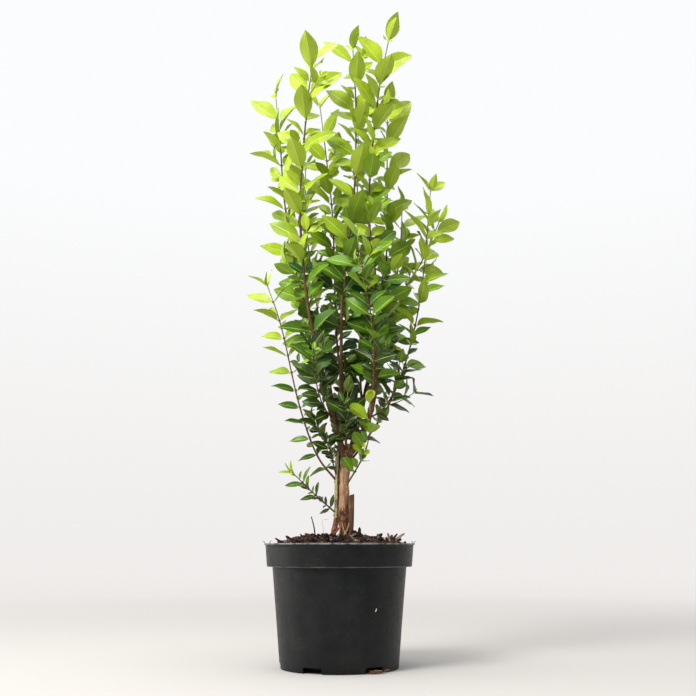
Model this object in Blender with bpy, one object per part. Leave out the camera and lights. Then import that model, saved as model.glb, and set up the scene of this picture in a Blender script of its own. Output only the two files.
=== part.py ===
"""A California privet in a plastic nursery pot.

The pot is filled with bark mulch. A forked trunk, a thinner second stem and a pruned stub stand
in it, five boughs rise from the fork, and each leafy shoot is one mass: a stem that carries
opposite pairs of leaves, every pair at right angles to the one below, and short side twigs.
Metres, +Z up. The origin is the middle of the pot's flat underside and -Y is the front.
"""

import math
import random
from typing import NamedTuple

import bmesh
import bpy
from mathutils import Matrix, Vector
from mathutils.bvhtree import BVHTree

UP = Vector((0.0, 0.0, 1.0))

# The gap that touching solids keep, and the one that leaves of different shoots keep
GAP = 0.0003
LEAF_CLEARANCE = 0.0005

# Pot: radii and heights of its outer side, from the underside to the lip
POT_HEIGHT = 0.174
POT_LIP_RADIUS = 0.110
POT_LIP_THICKNESS = 0.0024
POT_BAND_TOP_RADIUS = 0.1080
POT_BAND_FOOT_RADIUS = 0.1055
POT_BAND_FOOT_HEIGHT = 0.141
POT_BODY_TOP_RADIUS = 0.0975
POT_BASE_RADIUS = 0.0850
POT_WALL = 0.0018
POT_SEGMENTS = 40

# Drainage notches in the foot of the pot
NOTCH_COUNT = 6
NOTCH_WIDTH = 0.028
NOTCH_HEIGHT = 0.008
NOTCH_DEPTH = 0.012
NOTCH_FIRST_BEARING = math.radians(-55.5)

# Mulch: its level under the trunk and its fall to the wall of the pot
SOIL_LEVEL = 0.1777
SOIL_PLATEAU_RADIUS = 0.030
SOIL_SLOPE = ((0.085, 0.1680), (0.060, 0.1735))
SOIL_EDGE_LEVEL = 0.1640
SOIL_UNEVENNESS = 0.0011
SOIL_FADE = 0.020

# Trunk: flat cut at the mulch, lobed foot, a bulge, a waist, and a knob where it was once pruned
TRUNK_FOOT_LEVEL = SOIL_LEVEL + GAP
TRUNK_AXIS = ((0.0096, 0.0, TRUNK_FOOT_LEVEL), (0.0066, 0.0, 0.215), (0.0072, 0.0, 0.262),
              (0.0100, 0.0, 0.300), (0.0118, -0.0010, 0.3200))
TRUNK_GIRTH = ((0.1780, 0.0082), (0.1950, 0.0077), (0.2140, 0.0092), (0.2300, 0.0077),
               (0.2600, 0.0067), (0.2850, 0.0071), (0.3030, 0.0078), (0.3140, 0.0070),
               (0.3200, 0.0036))
TRUNK_SIDES = 14
TRUNK_RINGS = 13
ROOT_FLARE = 0.0036
ROOT_FLARE_BASE = 0.35
ROOT_FLARE_FALL = 0.013
ROOT_LOBES = 3
ROOT_LOBE_BEARING = math.radians(250.0)

# Leaf outline as shares of its length and of its widest half
LEAF_OUTLINE_LONG = ((0.33, 0.92), (0.66, 0.86))
LEAF_OUTLINE_SHORT = ((0.46, 1.0),)
LONG_LEAF = 0.034
LEAF_THICKNESS_SHARE = 1.0 / 55.0
LEAF_ROOT_DEPTH = 0.0011
BLADE_START = 0.13

BARK_BROWN = (0.235, 0.150, 0.085, 1.0)
YOUNG_BARK = (0.210, 0.190, 0.095, 1.0)
MULCH_BROWN = (0.060, 0.030, 0.020, 1.0)
POT_BLACK = (0.020, 0.022, 0.023, 1.0)
LOW_LEAF_GREEN = (0.045, 0.120, 0.030, 1.0)
TOP_LEAF_GREEN = (0.330, 0.520, 0.030, 1.0)
LOW_GREEN_HEIGHT = 0.35
TOP_GREEN_HEIGHT = 0.95


class Limb(NamedTuple):
    """A bare woody limb: its carrier, its route, and its radius at each end."""

    name: str
    carrier: str
    route: tuple
    foot_radius: float
    tip_radius: float
    sides: int
    rings: int
    colour: tuple = BARK_BROWN


class Shoot(NamedTuple):
    """A leafy shoot. A pair of numbers gives a size at the low end and at the top.

    Angles are in degrees. A bearing goes round the stem: 0 is to the right, 90 to the back.
    Below front_bare_to, leaves that would face the front are missing from the old wood, and
    below right_bare_to those that would face the right. pull is how far a leaf's upper side may
    be turned to the outside of the crown.
    """

    name: str
    carrier: str
    route: tuple
    seed: int
    bearing: float
    first_pair: float
    stem_radius: tuple = (0.0021, 0.0010)
    leaf_length: tuple = (0.047, 0.061)
    leaf_breadth: float = 0.52
    pair_gap: tuple = (0.033, 0.043)
    pair_turn: float = 90.0
    spread: tuple = (66.0, 44.0)
    twig_pairs: tuple = (2, 4)
    top_leaf: float = 0.030
    front_bare_to: float = 0.0
    right_bare_to: float = 0.0
    pull: float = 2.4


class Leaf(NamedTuple):
    """A leaf: where its root is, its three directions, and its sizes."""

    root: Vector
    along: Vector
    side: Vector
    upper: Vector
    length: float
    half_width: float
    arch: float


class Twig(NamedTuple):
    """A side twig: the points it follows and its radius at each end."""

    points: tuple
    foot_radius: float
    tip_radius: float


LIMBS = (
    Limb("second_stem", "trunk",
         ((-0.0120, -0.0050, TRUNK_FOOT_LEVEL), (-0.0088, -0.0020, 0.1890), (-0.0052, 0.0020, 0.2060),
          (-0.0042, 0.0040, 0.2280), (-0.0036, 0.0040, 0.268), (-0.0018, 0.0045, 0.300),
          (0.0005, 0.0045, 0.3262)),
         0.0041, 0.0034, 10, 13, YOUNG_BARK),
    Limb("pruned_stub", "trunk",
         ((0.0150, -0.0060, TRUNK_FOOT_LEVEL), (0.0172, -0.0080, 0.212), (0.0178, -0.0086, 0.244)),
         0.0044, 0.0038, 10, 5),
    Limb("left_bough", "trunk",
         ((0.0085, -0.0030, 0.294), (-0.0070, -0.0130, 0.346), (-0.0250, -0.0200, 0.410)),
         0.0046, 0.0038, 10, 7),
    Limb("centre_bough", "second_stem",
         ((0.0002, 0.0045, 0.3220), (0.0028, 0.0010, 0.368), (0.0020, -0.0115, 0.416)),
         0.0036, 0.0033, 10, 6),
    Limb("right_bough", "trunk",
         ((0.0110, -0.0020, 0.298), (0.0315, -0.0110, 0.3280), (0.0455, -0.0180, 0.3650),
          (0.0535, -0.0230, 0.4040)),
         0.0048, 0.0041, 10, 8),
    Limb("back_left_bough", "trunk",
         ((0.0085, 0.0020, 0.284), (0.0045, 0.0150, 0.312), (-0.0080, 0.0300, 0.362),
          (-0.0180, 0.0432, 0.407)),
         0.0040, 0.0033, 10, 8),
    Limb("back_right_bough", "trunk",
         ((0.0125, 0.0020, 0.300), (0.0215, 0.0150, 0.330), (0.0320, 0.0330, 0.370),
          (0.0420, 0.0500, 0.415)),
         0.0042, 0.0033, 10, 8),
)

SHOOTS = (
    Shoot("right_shoot", "right_bough",
          ((0.0530, -0.0228, 0.4020), (0.0563, -0.0240, 0.535), (0.0446, -0.0200, 0.688),
           (0.0603, -0.0120, 0.871), (0.0790, -0.0100, 0.978)),
          seed=11, bearing=15.0, first_pair=0.014, stem_radius=(0.0034, 0.0011),
          top_leaf=0.054, front_bare_to=0.43),
    Shoot("centre_shoot", "centre_bough",
          ((0.0020, -0.0110, 0.4140), (0.0045, -0.0330, 0.548), (0.0215, -0.0220, 0.700),
           (0.0250, -0.0100, 0.850), (0.0202, 0.0000, 0.968)),
          seed=12, bearing=15.0, first_pair=0.014, stem_radius=(0.0030, 0.0011), front_bare_to=0.54),
    Shoot("left_shoot", "left_bough",
          ((-0.0245, -0.0198, 0.4080), (-0.0500, -0.0300, 0.540), (-0.0610, -0.0340, 0.680),
           (-0.0520, -0.0380, 0.840), (-0.0419, -0.0400, 0.930)),
          seed=13, bearing=160.0, first_pair=0.012, stem_radius=(0.0034, 0.0011), front_bare_to=0.53),
    Shoot("left_outer_shoot", "second_stem",
          ((-0.0040, 0.0035, 0.2640), (-0.0344, -0.0050, 0.304), (-0.0614, -0.0100, 0.380),
           (-0.0883, -0.0200, 0.494), (-0.1110, -0.0250, 0.560)),
          seed=14, bearing=165.0, first_pair=0.024, stem_radius=(0.0018, 0.0009),
          leaf_length=(0.028, 0.048), leaf_breadth=0.42, pair_gap=(0.024, 0.030), pair_turn=50.0,
          spread=(74.0, 52.0), twig_pairs=(0, 0), pull=0.9),
    Shoot("right_outer_shoot", "trunk",
          ((0.0100, 0.0000, 0.2880), (0.0250, 0.0035, 0.3060), (0.0485, 0.0130, 0.3400),
           (0.0764, 0.0150, 0.385), (0.1062, 0.0200, 0.4638), (0.1283, 0.0200, 0.569),
           (0.1449, 0.0200, 0.7317)),
          seed=15, bearing=30.0, first_pair=0.050, stem_radius=(0.0019, 0.0009),
          leaf_length=(0.040, 0.057), leaf_breadth=0.46, pair_gap=(0.032, 0.036), pair_turn=60.0,
          spread=(66.0, 42.0), twig_pairs=(2, 3), top_leaf=0.036, pull=0.9),
    Shoot("left_back_shoot", "back_left_bough",
          ((-0.0175, 0.0420, 0.4040), (-0.0560, 0.0440, 0.540), (-0.0880, 0.0360, 0.700),
           (-0.0990, 0.0400, 0.820), (-0.1080, 0.0450, 0.905)),
          seed=16, bearing=10.0, first_pair=0.020, stem_radius=(0.0026, 0.0010)),
    Shoot("middle_back_shoot", "centre_bough",
          ((0.0026, -0.0085, 0.4060), (-0.0060, 0.0080, 0.500), (-0.0120, 0.0300, 0.680),
           (-0.0240, 0.0420, 0.800), (-0.0347, 0.0500, 0.8900)),
          seed=17, bearing=30.0, first_pair=0.024),
    Shoot("right_inner_shoot", "right_bough",
          ((0.0505, -0.0210, 0.3920), (0.0670, 0.0080, 0.490), (0.0745, 0.0330, 0.660),
           (0.0765, 0.0400, 0.800), (0.0785, 0.0450, 0.8900)),
          seed=18, bearing=10.0, first_pair=0.022),
    Shoot("right_slant_shoot", "back_right_bough",
          ((0.0415, 0.0492, 0.4130), (0.0560, 0.0500, 0.455), (0.0800, 0.0560, 0.535),
           (0.1300, 0.0600, 0.6180), (0.1620, 0.0600, 0.6900)),
          seed=19, bearing=35.0, first_pair=0.022, leaf_length=(0.042, 0.056), leaf_breadth=0.46,
          pair_gap=(0.031, 0.038), pair_turn=70.0, twig_pairs=(2, 3)),
    Shoot("back_left_shoot", "back_left_bough",
          ((-0.0120, 0.0375, 0.3830), (-0.0150, 0.0600, 0.415), (-0.0360, 0.0860, 0.540),
           (-0.0560, 0.1020, 0.680), (-0.0600, 0.1050, 0.8000)),
          seed=20, bearing=40.0, first_pair=0.022),
    Shoot("back_middle_shoot", "back_right_bough",
          ((0.0340, 0.0370, 0.3830), (0.0320, 0.0560, 0.430), (0.0320, 0.0820, 0.540),
           (0.0280, 0.0960, 0.720), (0.0300, 0.1000, 0.8600)),
          seed=21, bearing=110.0, first_pair=0.024),
    Shoot("back_right_shoot", "back_right_bough",
          ((0.0372, 0.0418, 0.3940), (0.0440, 0.0660, 0.430), (0.0780, 0.0960, 0.530),
           (0.0980, 0.1080, 0.640), (0.1040, 0.1060, 0.7300)),
          seed=22, bearing=0.0, first_pair=0.022, leaf_length=(0.042, 0.058)),
    Shoot("front_shoot", "right_bough",
          ((0.0495, -0.0204, 0.3880), (0.0500, -0.0600, 0.470), (0.0350, -0.0760, 0.560),
           (0.0260, -0.0780, 0.6200)),
          seed=23, bearing=60.0, first_pair=0.022, stem_radius=(0.0019, 0.0009),
          leaf_length=(0.042, 0.056), pair_gap=(0.032, 0.038), twig_pairs=(0, 0)),
    Shoot("low_left_twig", "second_stem",
          ((-0.0034, 0.0035, 0.2160), (-0.0392, -0.0150, 0.2468), (-0.0700, -0.0240, 0.2762)),
          seed=24, bearing=0.0, first_pair=0.014, stem_radius=(0.0012, 0.0008),
          leaf_length=(0.018, 0.026), leaf_breadth=0.34, pair_gap=(0.013, 0.016),
          spread=(60.0, 46.0), twig_pairs=(0, 0), top_leaf=0.018),
    Shoot("left_twig", "second_stem",
          ((-0.0036, 0.0040, 0.2700), (-0.0092, -0.0036, 0.2880), (-0.0140, -0.0070, 0.3100),
           (-0.0250, -0.0096, 0.3340), (-0.0400, -0.0120, 0.3560)),
          seed=25, bearing=20.0, first_pair=0.013, stem_radius=(0.0013, 0.0008),
          leaf_length=(0.018, 0.034), leaf_breadth=0.52, pair_gap=(0.014, 0.020), twig_pairs=(0, 0)),
    Shoot("right_twig", "trunk",
          ((0.0090, -0.0030, 0.2560), (0.0355, -0.0200, 0.3012), (0.0450, -0.0330, 0.340),
           (0.0440, -0.0400, 0.3760)),
          seed=26, bearing=0.0, first_pair=0.024, stem_radius=(0.0014, 0.0008),
          leaf_length=(0.024, 0.034), leaf_breadth=0.62, pair_gap=(0.018, 0.024), twig_pairs=(0, 0),
          top_leaf=0.020, right_bare_to=0.400),
    Shoot("inner_front_twig", "trunk",
          ((0.0110, -0.0030, 0.3050), (0.0100, -0.0240, 0.3300), (0.0120, -0.0400, 0.3900)),
          seed=27, bearing=15.0, first_pair=0.024, stem_radius=(0.0014, 0.0008),
          leaf_length=(0.030, 0.040), leaf_breadth=0.54, pair_gap=(0.019, 0.023), twig_pairs=(0, 0)),
    Shoot("inner_left_twig", "left_bough",
          ((-0.0085, -0.0134, 0.3530), (-0.0250, -0.0340, 0.3740), (-0.0360, -0.0480, 0.4140),
           (-0.0400, -0.0540, 0.4560)),
          seed=29, bearing=40.0, first_pair=0.014, stem_radius=(0.0014, 0.0008),
          leaf_length=(0.030, 0.040), leaf_breadth=0.54, pair_gap=(0.020, 0.024), twig_pairs=(0, 0)),
    Shoot("inner_right_twig", "right_bough",
          ((0.0428, -0.0165, 0.3560), (0.0620, -0.0140, 0.3680), (0.0800, -0.0160, 0.3950),
           (0.0900, -0.0160, 0.4400)),
          seed=30, bearing=60.0, first_pair=0.014, stem_radius=(0.0014, 0.0008),
          leaf_length=(0.030, 0.044), leaf_breadth=0.48, pair_gap=(0.020, 0.026), twig_pairs=(0, 0)),
    Shoot("inner_back_twig", "trunk",
          ((0.0095, 0.0030, 0.3100), (0.0080, 0.0200, 0.3380), (0.0095, 0.0440, 0.3640),
           (0.0080, 0.0640, 0.4200)),
          seed=28, bearing=45.0, first_pair=0.022, stem_radius=(0.0014, 0.0008),
          leaf_length=(0.032, 0.044), leaf_breadth=0.54, pair_gap=(0.020, 0.024), twig_pairs=(0, 0)),
)

# Stems, side twigs, and the young leaves at the top of a shoot
ROUTE_STEPS = 24
STEM_STEP = 0.040
STEM_SIDES = 3
TWIG_LENGTH = (0.032, 0.050)
TWIG_RADIUS = (0.0010, 0.0008)
TWIG_LEAN = math.radians(46.0)
TWIG_RISE = 0.25
TWIG_PAIR_PLACES = (0.55, 0.97)
TWIG_LEAF_SHARE = 0.76
TWIG_LEAF_SPREAD = 50.0
FRONT = 270.0
TOP_GAP_SHARE = 0.55
TOP_PAIR_SHARE = 0.74
TOP_PAIR_SPREAD = 36.0
TOP_LEAF_SPREAD = 9.0
TOP_PLACE = 0.985
FULL_LEAF_SHARE = 0.7
LEAF_ARCH = (0.06, 0.26)
LEAF_ROLL = 20.0
LEAF_LENGTH_RANGE = (0.90, 1.10)
PAIR_GAP_RANGE = (0.92, 1.08)
PAIR_JITTER = 12.0
BEARING_JITTER = 9.0
SPREAD_JITTER = 8.0
TWIG_JITTER = 25.0
TOP_JITTER = 30.0
LIGHT_PULL = 5.6
FRONT_FACING = 0.45
RIGHT_FACING = 0.30
CROWN_AXIS = Vector((0.015, 0.140, 0.0))
LEAF_TRIES = ((0.0, 0.0, 1.0), (24.0, 0.0, 1.0), (-24.0, 0.0, 1.0), (0.0, 14.0, 0.86),
              (0.0, -14.0, 0.86), (38.0, -8.0, 0.78), (-38.0, 8.0, 0.78))


def clear_scene():
    """Remove every object and collection that the file opened with."""
    for obj in list(bpy.data.objects):
        bpy.data.objects.remove(obj, do_unlink=True)
    for group in list(bpy.data.collections):
        bpy.data.collections.remove(group)


def finish(name, colour, roughness):
    """A Principled material in one colour."""
    material = bpy.data.materials.new(name)
    material.use_nodes = True
    shader = material.node_tree.nodes["Principled BSDF"]
    shader.inputs["Base Color"].default_value = colour
    shader.inputs["Roughness"].default_value = roughness
    shader.inputs["Metallic"].default_value = 0.0
    material.diffuse_color = colour
    return material


def mesh_from(name, points, faces):
    """A mesh of the given points and faces, with its faces pointing out."""
    mesh = bpy.data.meshes.new(name)
    mesh.from_pydata([tuple(point) for point in points], [], faces)
    shape = bmesh.new()
    shape.from_mesh(mesh)
    bmesh.ops.recalc_face_normals(shape, faces=shape.faces)
    shape.to_mesh(mesh)
    shape.free()
    return mesh


def add_object(name, mesh, material=None, group=None):
    """Link an object to the scene, or to a group of pieces that will be joined."""
    obj = bpy.data.objects.new(name, mesh)
    (group or bpy.context.scene.collection).objects.link(obj)
    if material:
        mesh.materials.append(material)
    return obj


def apply_boolean(obj, operation, solver, other=None, group=None):
    """Join an object with a group, or cut another one out of it, and keep the result."""
    step = obj.modifiers.new(operation.lower(), "BOOLEAN")
    step.operation = operation
    step.solver = solver
    if group:
        step.operand_type = "COLLECTION"
        step.collection = group
    else:
        step.object = other
    bpy.context.view_layer.update()
    evaluated = obj.evaluated_get(bpy.context.evaluated_depsgraph_get())
    joined = bpy.data.meshes.new_from_object(evaluated)
    obj.modifiers.remove(step)
    obj.data = joined


def keep_largest_body(obj):
    """Drop loose scraps and the skins of sealed hollows: only the largest body stays."""
    shape = bmesh.new()
    shape.from_mesh(obj.data)
    left = set(shape.faces)
    bodies = []
    while left:
        body = {left.pop()}
        front = list(body)
        while front:
            face = front.pop()
            for edge in face.edges:
                for neighbour in edge.link_faces:
                    if neighbour in left:
                        left.remove(neighbour)
                        body.add(neighbour)
                        front.append(neighbour)
        bodies.append(body)
    bodies.sort(key=lambda body: sum(face.calc_area() for face in body))
    scraps = [face for body in bodies[:-1] for face in body]
    if scraps:
        bmesh.ops.delete(shape, geom=scraps, context="FACES")
        loose = [vert for vert in shape.verts if not vert.link_faces]
        bmesh.ops.delete(shape, geom=loose, context="VERTS")
    shape.to_mesh(obj.data)
    shape.free()


# Routes

def between(ends, share):
    """The value at a share of the way from the first end to the second."""
    return ends[0] + (ends[1] - ends[0]) * share


def smooth_route(points, count):
    """Evenly spaced points on a smooth curve through the given ones."""
    marks = [Vector(point) for point in points]
    first = marks[0] * 2 - marks[1]
    last = marks[-1] * 2 - marks[-2]
    padded = [first] + marks + [last]
    fine = []
    for index in range(1, len(padded) - 2):
        before, start, end, after = padded[index - 1:index + 3]
        for step in range(ROUTE_STEPS):
            t = step / ROUTE_STEPS
            fine.append(0.5 * (2 * start + (end - before) * t
                               + (2 * before - 5 * start + 4 * end - after) * t * t
                               + (3 * start - before - 3 * end + after) * t ** 3))
    fine.append(marks[-1])
    lengths = [0.0]
    for here, there in zip(fine, fine[1:]):
        lengths.append(lengths[-1] + (there - here).length)
    route = []
    place = 0
    for number in range(count):
        goal = lengths[-1] * number / (count - 1)
        while place < len(fine) - 2 and lengths[place + 1] < goal:
            place += 1
        span = lengths[place + 1] - lengths[place]
        share = (goal - lengths[place]) / span if span else 0.0
        route.append(fine[place].lerp(fine[place + 1], min(share, 1.0)))
    return route, lengths[-1]


def point_on(route, share):
    """The point at a share of a route, and the direction the route takes there."""
    spot = min(max(share, 0.0), 1.0) * (len(route) - 1)
    index = min(int(spot), len(route) - 2)
    heading = (route[index + 1] - route[index]).normalized()
    return route[index].lerp(route[index + 1], spot - index), heading


def square_to(heading):
    """Two directions at right angles to a heading, the first one level."""
    level = heading.cross(UP)
    if level.length < 1e-4:
        level = Vector((1.0, 0.0, 0.0))
    level.normalize()
    return level, level.cross(heading).normalized()


def tube(route, radii, sides):
    """Points and faces of a closed tube round a route, with a flat end at both ends."""
    points = []
    across, beside = square_to((route[1] - route[0]).normalized())
    for index, centre in enumerate(route):
        before = route[max(index - 1, 0)]
        after = route[min(index + 1, len(route) - 1)]
        heading = (after - before).normalized()
        across = (across - heading * across.dot(heading)).normalized()
        beside = heading.cross(across)
        for side in range(sides):
            angle = side * math.tau / sides
            points.append(centre + (across * math.cos(angle) + beside * math.sin(angle)) * radii[index])
    return points, tube_faces(len(route), sides)


def tube_faces(rings, sides):
    """Side faces between rings of points, and one face across each end."""
    faces = [tuple(reversed(range(sides)))]
    for ring in range(rings - 1):
        low = ring * sides
        for side in range(sides):
            following = (side + 1) % sides
            faces.append((low + side, low + following, low + sides + following, low + sides + side))
    top = (rings - 1) * sides
    faces.append(tuple(range(top, top + sides)))
    return faces


# Pot and mulch

def turned(name, profile, segments, lift=None):
    """A solid turned about +Z from a closed outline of (radius, height) points."""
    points = []
    rings = []
    for radius, height in profile:
        if radius == 0.0:
            rings.append([len(points)])
            points.append((0.0, 0.0, height))
            continue
        ring = []
        for segment in range(segments):
            angle = segment * math.tau / segments
            extra = lift(radius, angle, height) if lift else 0.0
            ring.append(len(points))
            points.append((radius * math.cos(angle), radius * math.sin(angle), height + extra))
        rings.append(ring)
    faces = []
    for low, high in zip(rings, rings[1:]):
        for segment in range(segments):
            following = (segment + 1) % segments
            corners = (low[segment % len(low)], low[following % len(low)],
                       high[following % len(high)], high[segment % len(high)])
            unique = tuple(dict.fromkeys(corners))
            if len(unique) > 2:
                faces.append(unique)
    return mesh_from(name, points, faces)


def inner_radius(height):
    """Radius of the pot's inner side at a height."""
    if height < POT_BAND_FOOT_HEIGHT:
        outer = between((POT_BASE_RADIUS, POT_BODY_TOP_RADIUS), height / POT_BAND_FOOT_HEIGHT)
        return outer - POT_WALL
    share = (height - POT_BAND_FOOT_HEIGHT) / (POT_HEIGHT - POT_BAND_FOOT_HEIGHT)
    return between((POT_BAND_FOOT_RADIUS, POT_BAND_TOP_RADIUS), share) - POT_WALL


def build_pot():
    """Pot: one thin wall with a wider band under the lip, a flat foot and drainage notches."""
    lip_foot = POT_HEIGHT - POT_LIP_THICKNESS
    step = POT_BAND_FOOT_HEIGHT + POT_WALL
    profile = (
        (0.0, 0.0),
        (POT_BASE_RADIUS, 0.0),
        (POT_BODY_TOP_RADIUS, POT_BAND_FOOT_HEIGHT),
        (POT_BAND_FOOT_RADIUS, POT_BAND_FOOT_HEIGHT),
        (POT_BAND_TOP_RADIUS, lip_foot),
        (POT_LIP_RADIUS, lip_foot),
        (POT_LIP_RADIUS, POT_HEIGHT),
        (inner_radius(POT_HEIGHT), POT_HEIGHT),
        (inner_radius(step), step),
        (POT_BODY_TOP_RADIUS - POT_WALL, step),
        (inner_radius(POT_WALL), POT_WALL),
        (0.0, POT_WALL),
    )
    pot = add_object("pot", turned("pot", profile, POT_SEGMENTS),
                     finish("moulded_black_plastic", POT_BLACK, 0.45))
    for number in range(NOTCH_COUNT):
        bearing = NOTCH_FIRST_BEARING + number * math.tau / NOTCH_COUNT
        turn = Matrix.Rotation(bearing, 4, "Z")
        centre = turn @ Vector((POT_BASE_RADIUS, 0.0, NOTCH_HEIGHT / 2 - GAP))
        cutter_mesh = bpy.data.meshes.new("notch_cutter")
        shape = bmesh.new()
        size = Matrix.Diagonal((NOTCH_DEPTH * 2, NOTCH_WIDTH, NOTCH_HEIGHT + GAP * 2, 1.0))
        bmesh.ops.create_cube(shape, size=1.0, matrix=Matrix.Translation(centre) @ turn @ size)
        shape.to_mesh(cutter_mesh)
        shape.free()
        cutter = add_object("notch_cutter", cutter_mesh)
        apply_boolean(pot, "DIFFERENCE", "EXACT", other=cutter)
        bpy.data.objects.remove(cutter, do_unlink=True)
    pot.data.set_sharp_from_angle(angle=math.radians(35.0))
    return pot


def soil_lift(radius, angle, height):
    """Uneven rise and fall of the mulch's top, away from the level patch under the trunk."""
    if height < SOIL_EDGE_LEVEL:
        return 0.0
    share = min(max((radius - SOIL_PLATEAU_RADIUS) / SOIL_FADE, 0.0), 1.0)
    wave = math.sin(3.0 * angle + 40.0 * radius) + 0.7 * math.sin(5.0 * angle + 1.0)
    return SOIL_UNEVENNESS * share * wave


def build_soil():
    """Mulch: fills the pot 0.3 mm clear of it, level under the trunk and lower at the wall."""
    floor = POT_WALL + GAP
    step = POT_BAND_FOOT_HEIGHT + POT_WALL + GAP
    body_top = POT_BODY_TOP_RADIUS - POT_WALL - GAP
    profile = (
        (0.0, floor),
        (inner_radius(floor) - GAP, floor),
        (body_top, step),
        (inner_radius(step) - GAP, step),
        (inner_radius(SOIL_EDGE_LEVEL) - GAP * 4, SOIL_EDGE_LEVEL),
        *SOIL_SLOPE,
        (SOIL_PLATEAU_RADIUS, SOIL_LEVEL),
        (0.0, SOIL_LEVEL),
    )
    return add_object("soil", turned("soil", profile, POT_SEGMENTS, soil_lift),
                      finish("bark_mulch", MULCH_BROWN, 0.95))


# Trunk, stems and boughs

def trunk_radius(height):
    """Radius of the trunk at a height, without its root flare."""
    for (low, low_radius), (high, high_radius) in zip(TRUNK_GIRTH, TRUNK_GIRTH[1:]):
        if height <= high:
            return between((low_radius, high_radius), (height - low) / (high - low))
    return TRUNK_GIRTH[-1][1]


def trunk_shape(extra):
    """Points and faces of the trunk, all its sides moved out by a little extra."""
    route, _ = smooth_route(TRUNK_AXIS, TRUNK_RINGS)
    route[0].z -= extra
    route[-1].z += extra
    points = []
    for centre in route:
        rise = max(centre.z - TRUNK_FOOT_LEVEL, 0.0)
        for side in range(TRUNK_SIDES):
            angle = side * math.tau / TRUNK_SIDES
            lobe = 0.5 + 0.5 * math.cos(ROOT_LOBES * (angle - ROOT_LOBE_BEARING))
            spread = ROOT_FLARE_BASE + (1.0 - ROOT_FLARE_BASE) * lobe
            flare = ROOT_FLARE * math.exp(-rise / ROOT_FLARE_FALL) * spread
            radius = trunk_radius(centre.z) + flare + extra
            points.append(centre + Vector((math.cos(angle), math.sin(angle), 0.0)) * radius)
    return points, tube_faces(TRUNK_RINGS, TRUNK_SIDES)


def limb_shape(limb, extra):
    """Points and faces of a bough or stem, all its sides moved out by a little extra."""
    route, _ = smooth_route(limb.route, limb.rings)
    route[0] += (route[0] - route[1]).normalized() * extra
    route[-1] += (route[-1] - route[-2]).normalized() * extra
    radii = [between((limb.foot_radius, limb.tip_radius), ring / (limb.rings - 1)) + extra
             for ring in range(limb.rings)]
    return tube(route, radii, limb.sides)


def cut_clear(obj, carrier, solver="EXACT"):
    """Cut an object back until it stands a gap clear of the limb that carries it."""
    if carrier == "trunk":
        points, faces = trunk_shape(GAP)
    else:
        points, faces = limb_shape(next(limb for limb in LIMBS if limb.name == carrier), GAP)
    cutter = add_object("limb_cutter", mesh_from("limb_cutter", points, faces))
    apply_boolean(obj, "DIFFERENCE", solver, other=cutter)
    bpy.data.objects.remove(cutter, do_unlink=True)


def cut_level(obj, height):
    """Cut away whatever an object has below a level."""
    shape = bmesh.new()
    shape.from_mesh(obj.data)
    everything = list(shape.verts) + list(shape.edges) + list(shape.faces)
    cut = bmesh.ops.bisect_plane(shape, geom=everything, plane_co=(0.0, 0.0, height),
                                 plane_no=(0.0, 0.0, 1.0), clear_inner=True)
    rim = [edge for edge in cut["geom_cut"] if isinstance(edge, bmesh.types.BMEdge)]
    if rim:
        bmesh.ops.contextual_create(shape, geom=rim)
        bmesh.ops.recalc_face_normals(shape, faces=shape.faces)
    shape.to_mesh(obj.data)
    shape.free()


def build_wood():
    """Trunk, second stem, pruned stub and boughs, each cut to meet what carries it."""
    points, faces = trunk_shape(0.0)
    add_object("trunk", mesh_from("trunk", points, faces), finish("trunk_bark", BARK_BROWN, 0.85))
    for limb in LIMBS:
        points, faces = limb_shape(limb, 0.0)
        obj = add_object(limb.name, mesh_from(limb.name, points, faces),
                         finish(limb.name + "_bark", limb.colour, 0.80))
        cut_clear(obj, limb.carrier)
        if limb.route[0][2] == TRUNK_FOOT_LEVEL:
            cut_level(obj, TRUNK_FOOT_LEVEL)
        keep_largest_body(obj)


# Leaves and twigs

def leaf_rim(leaf, start=0.0, margin=0.0):
    """The rim of a leaf from its root round its tip, as shares of its length and half widths."""
    outline = LEAF_OUTLINE_LONG if leaf.length >= LONG_LEAF else LEAF_OUTLINE_SHORT
    left = [(share, leaf.half_width * width + margin) for share, width in outline]
    right = [(share, -half) for share, half in reversed(left)]
    return [(start, 0.0)] + left + [(1.0 + margin / leaf.length, 0.0)] + right


def leaf_point(leaf, share, sideways, lift):
    """A point of a leaf: how far along it, to the side of its midrib, and above its blade."""
    rise = lift - leaf.arch * share * share * leaf.length
    return leaf.root + leaf.along * (leaf.length * share) + leaf.side * sideways + leaf.upper * rise


def leaf_body(leaf, start=0.0):
    """Points and faces of a leaf: a thin keeled blade that widens from an upright root edge."""
    rim = leaf_rim(leaf, start)
    points = [leaf_point(leaf, share, half, 0.0) for share, half in rim]
    points[0] += leaf.upper * (LEAF_ROOT_DEPTH / 2)
    pairs = (len(rim) - 2) // 2
    left = list(range(1, pairs + 1))
    tip = pairs + 1
    right = list(range(len(rim) - 1, tip, -1))
    low_root = len(points)
    points.append(points[0] - leaf.upper * LEAF_ROOT_DEPTH)
    keel = low_root + 1
    middle = sum((points[index] for index in left + right), Vector()) / (2 * pairs)
    points.append(middle - leaf.upper * (leaf.length * LEAF_THICKNESS_SHARE))
    faces = [(0, left[0], right[0]), (left[-1], tip, right[-1]), (0, low_root, left[0]),
             (low_root, 0, right[0])]
    for low in range(pairs - 1):
        faces.append((left[low], left[low + 1], right[low + 1]))
        faces.append((left[low], right[low + 1], right[low]))
    underside = [low_root] + list(range(1, len(rim)))
    for here, there in zip(underside, underside[1:] + underside[:1]):
        faces.append((there, here, keel))
    return points, faces


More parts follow.
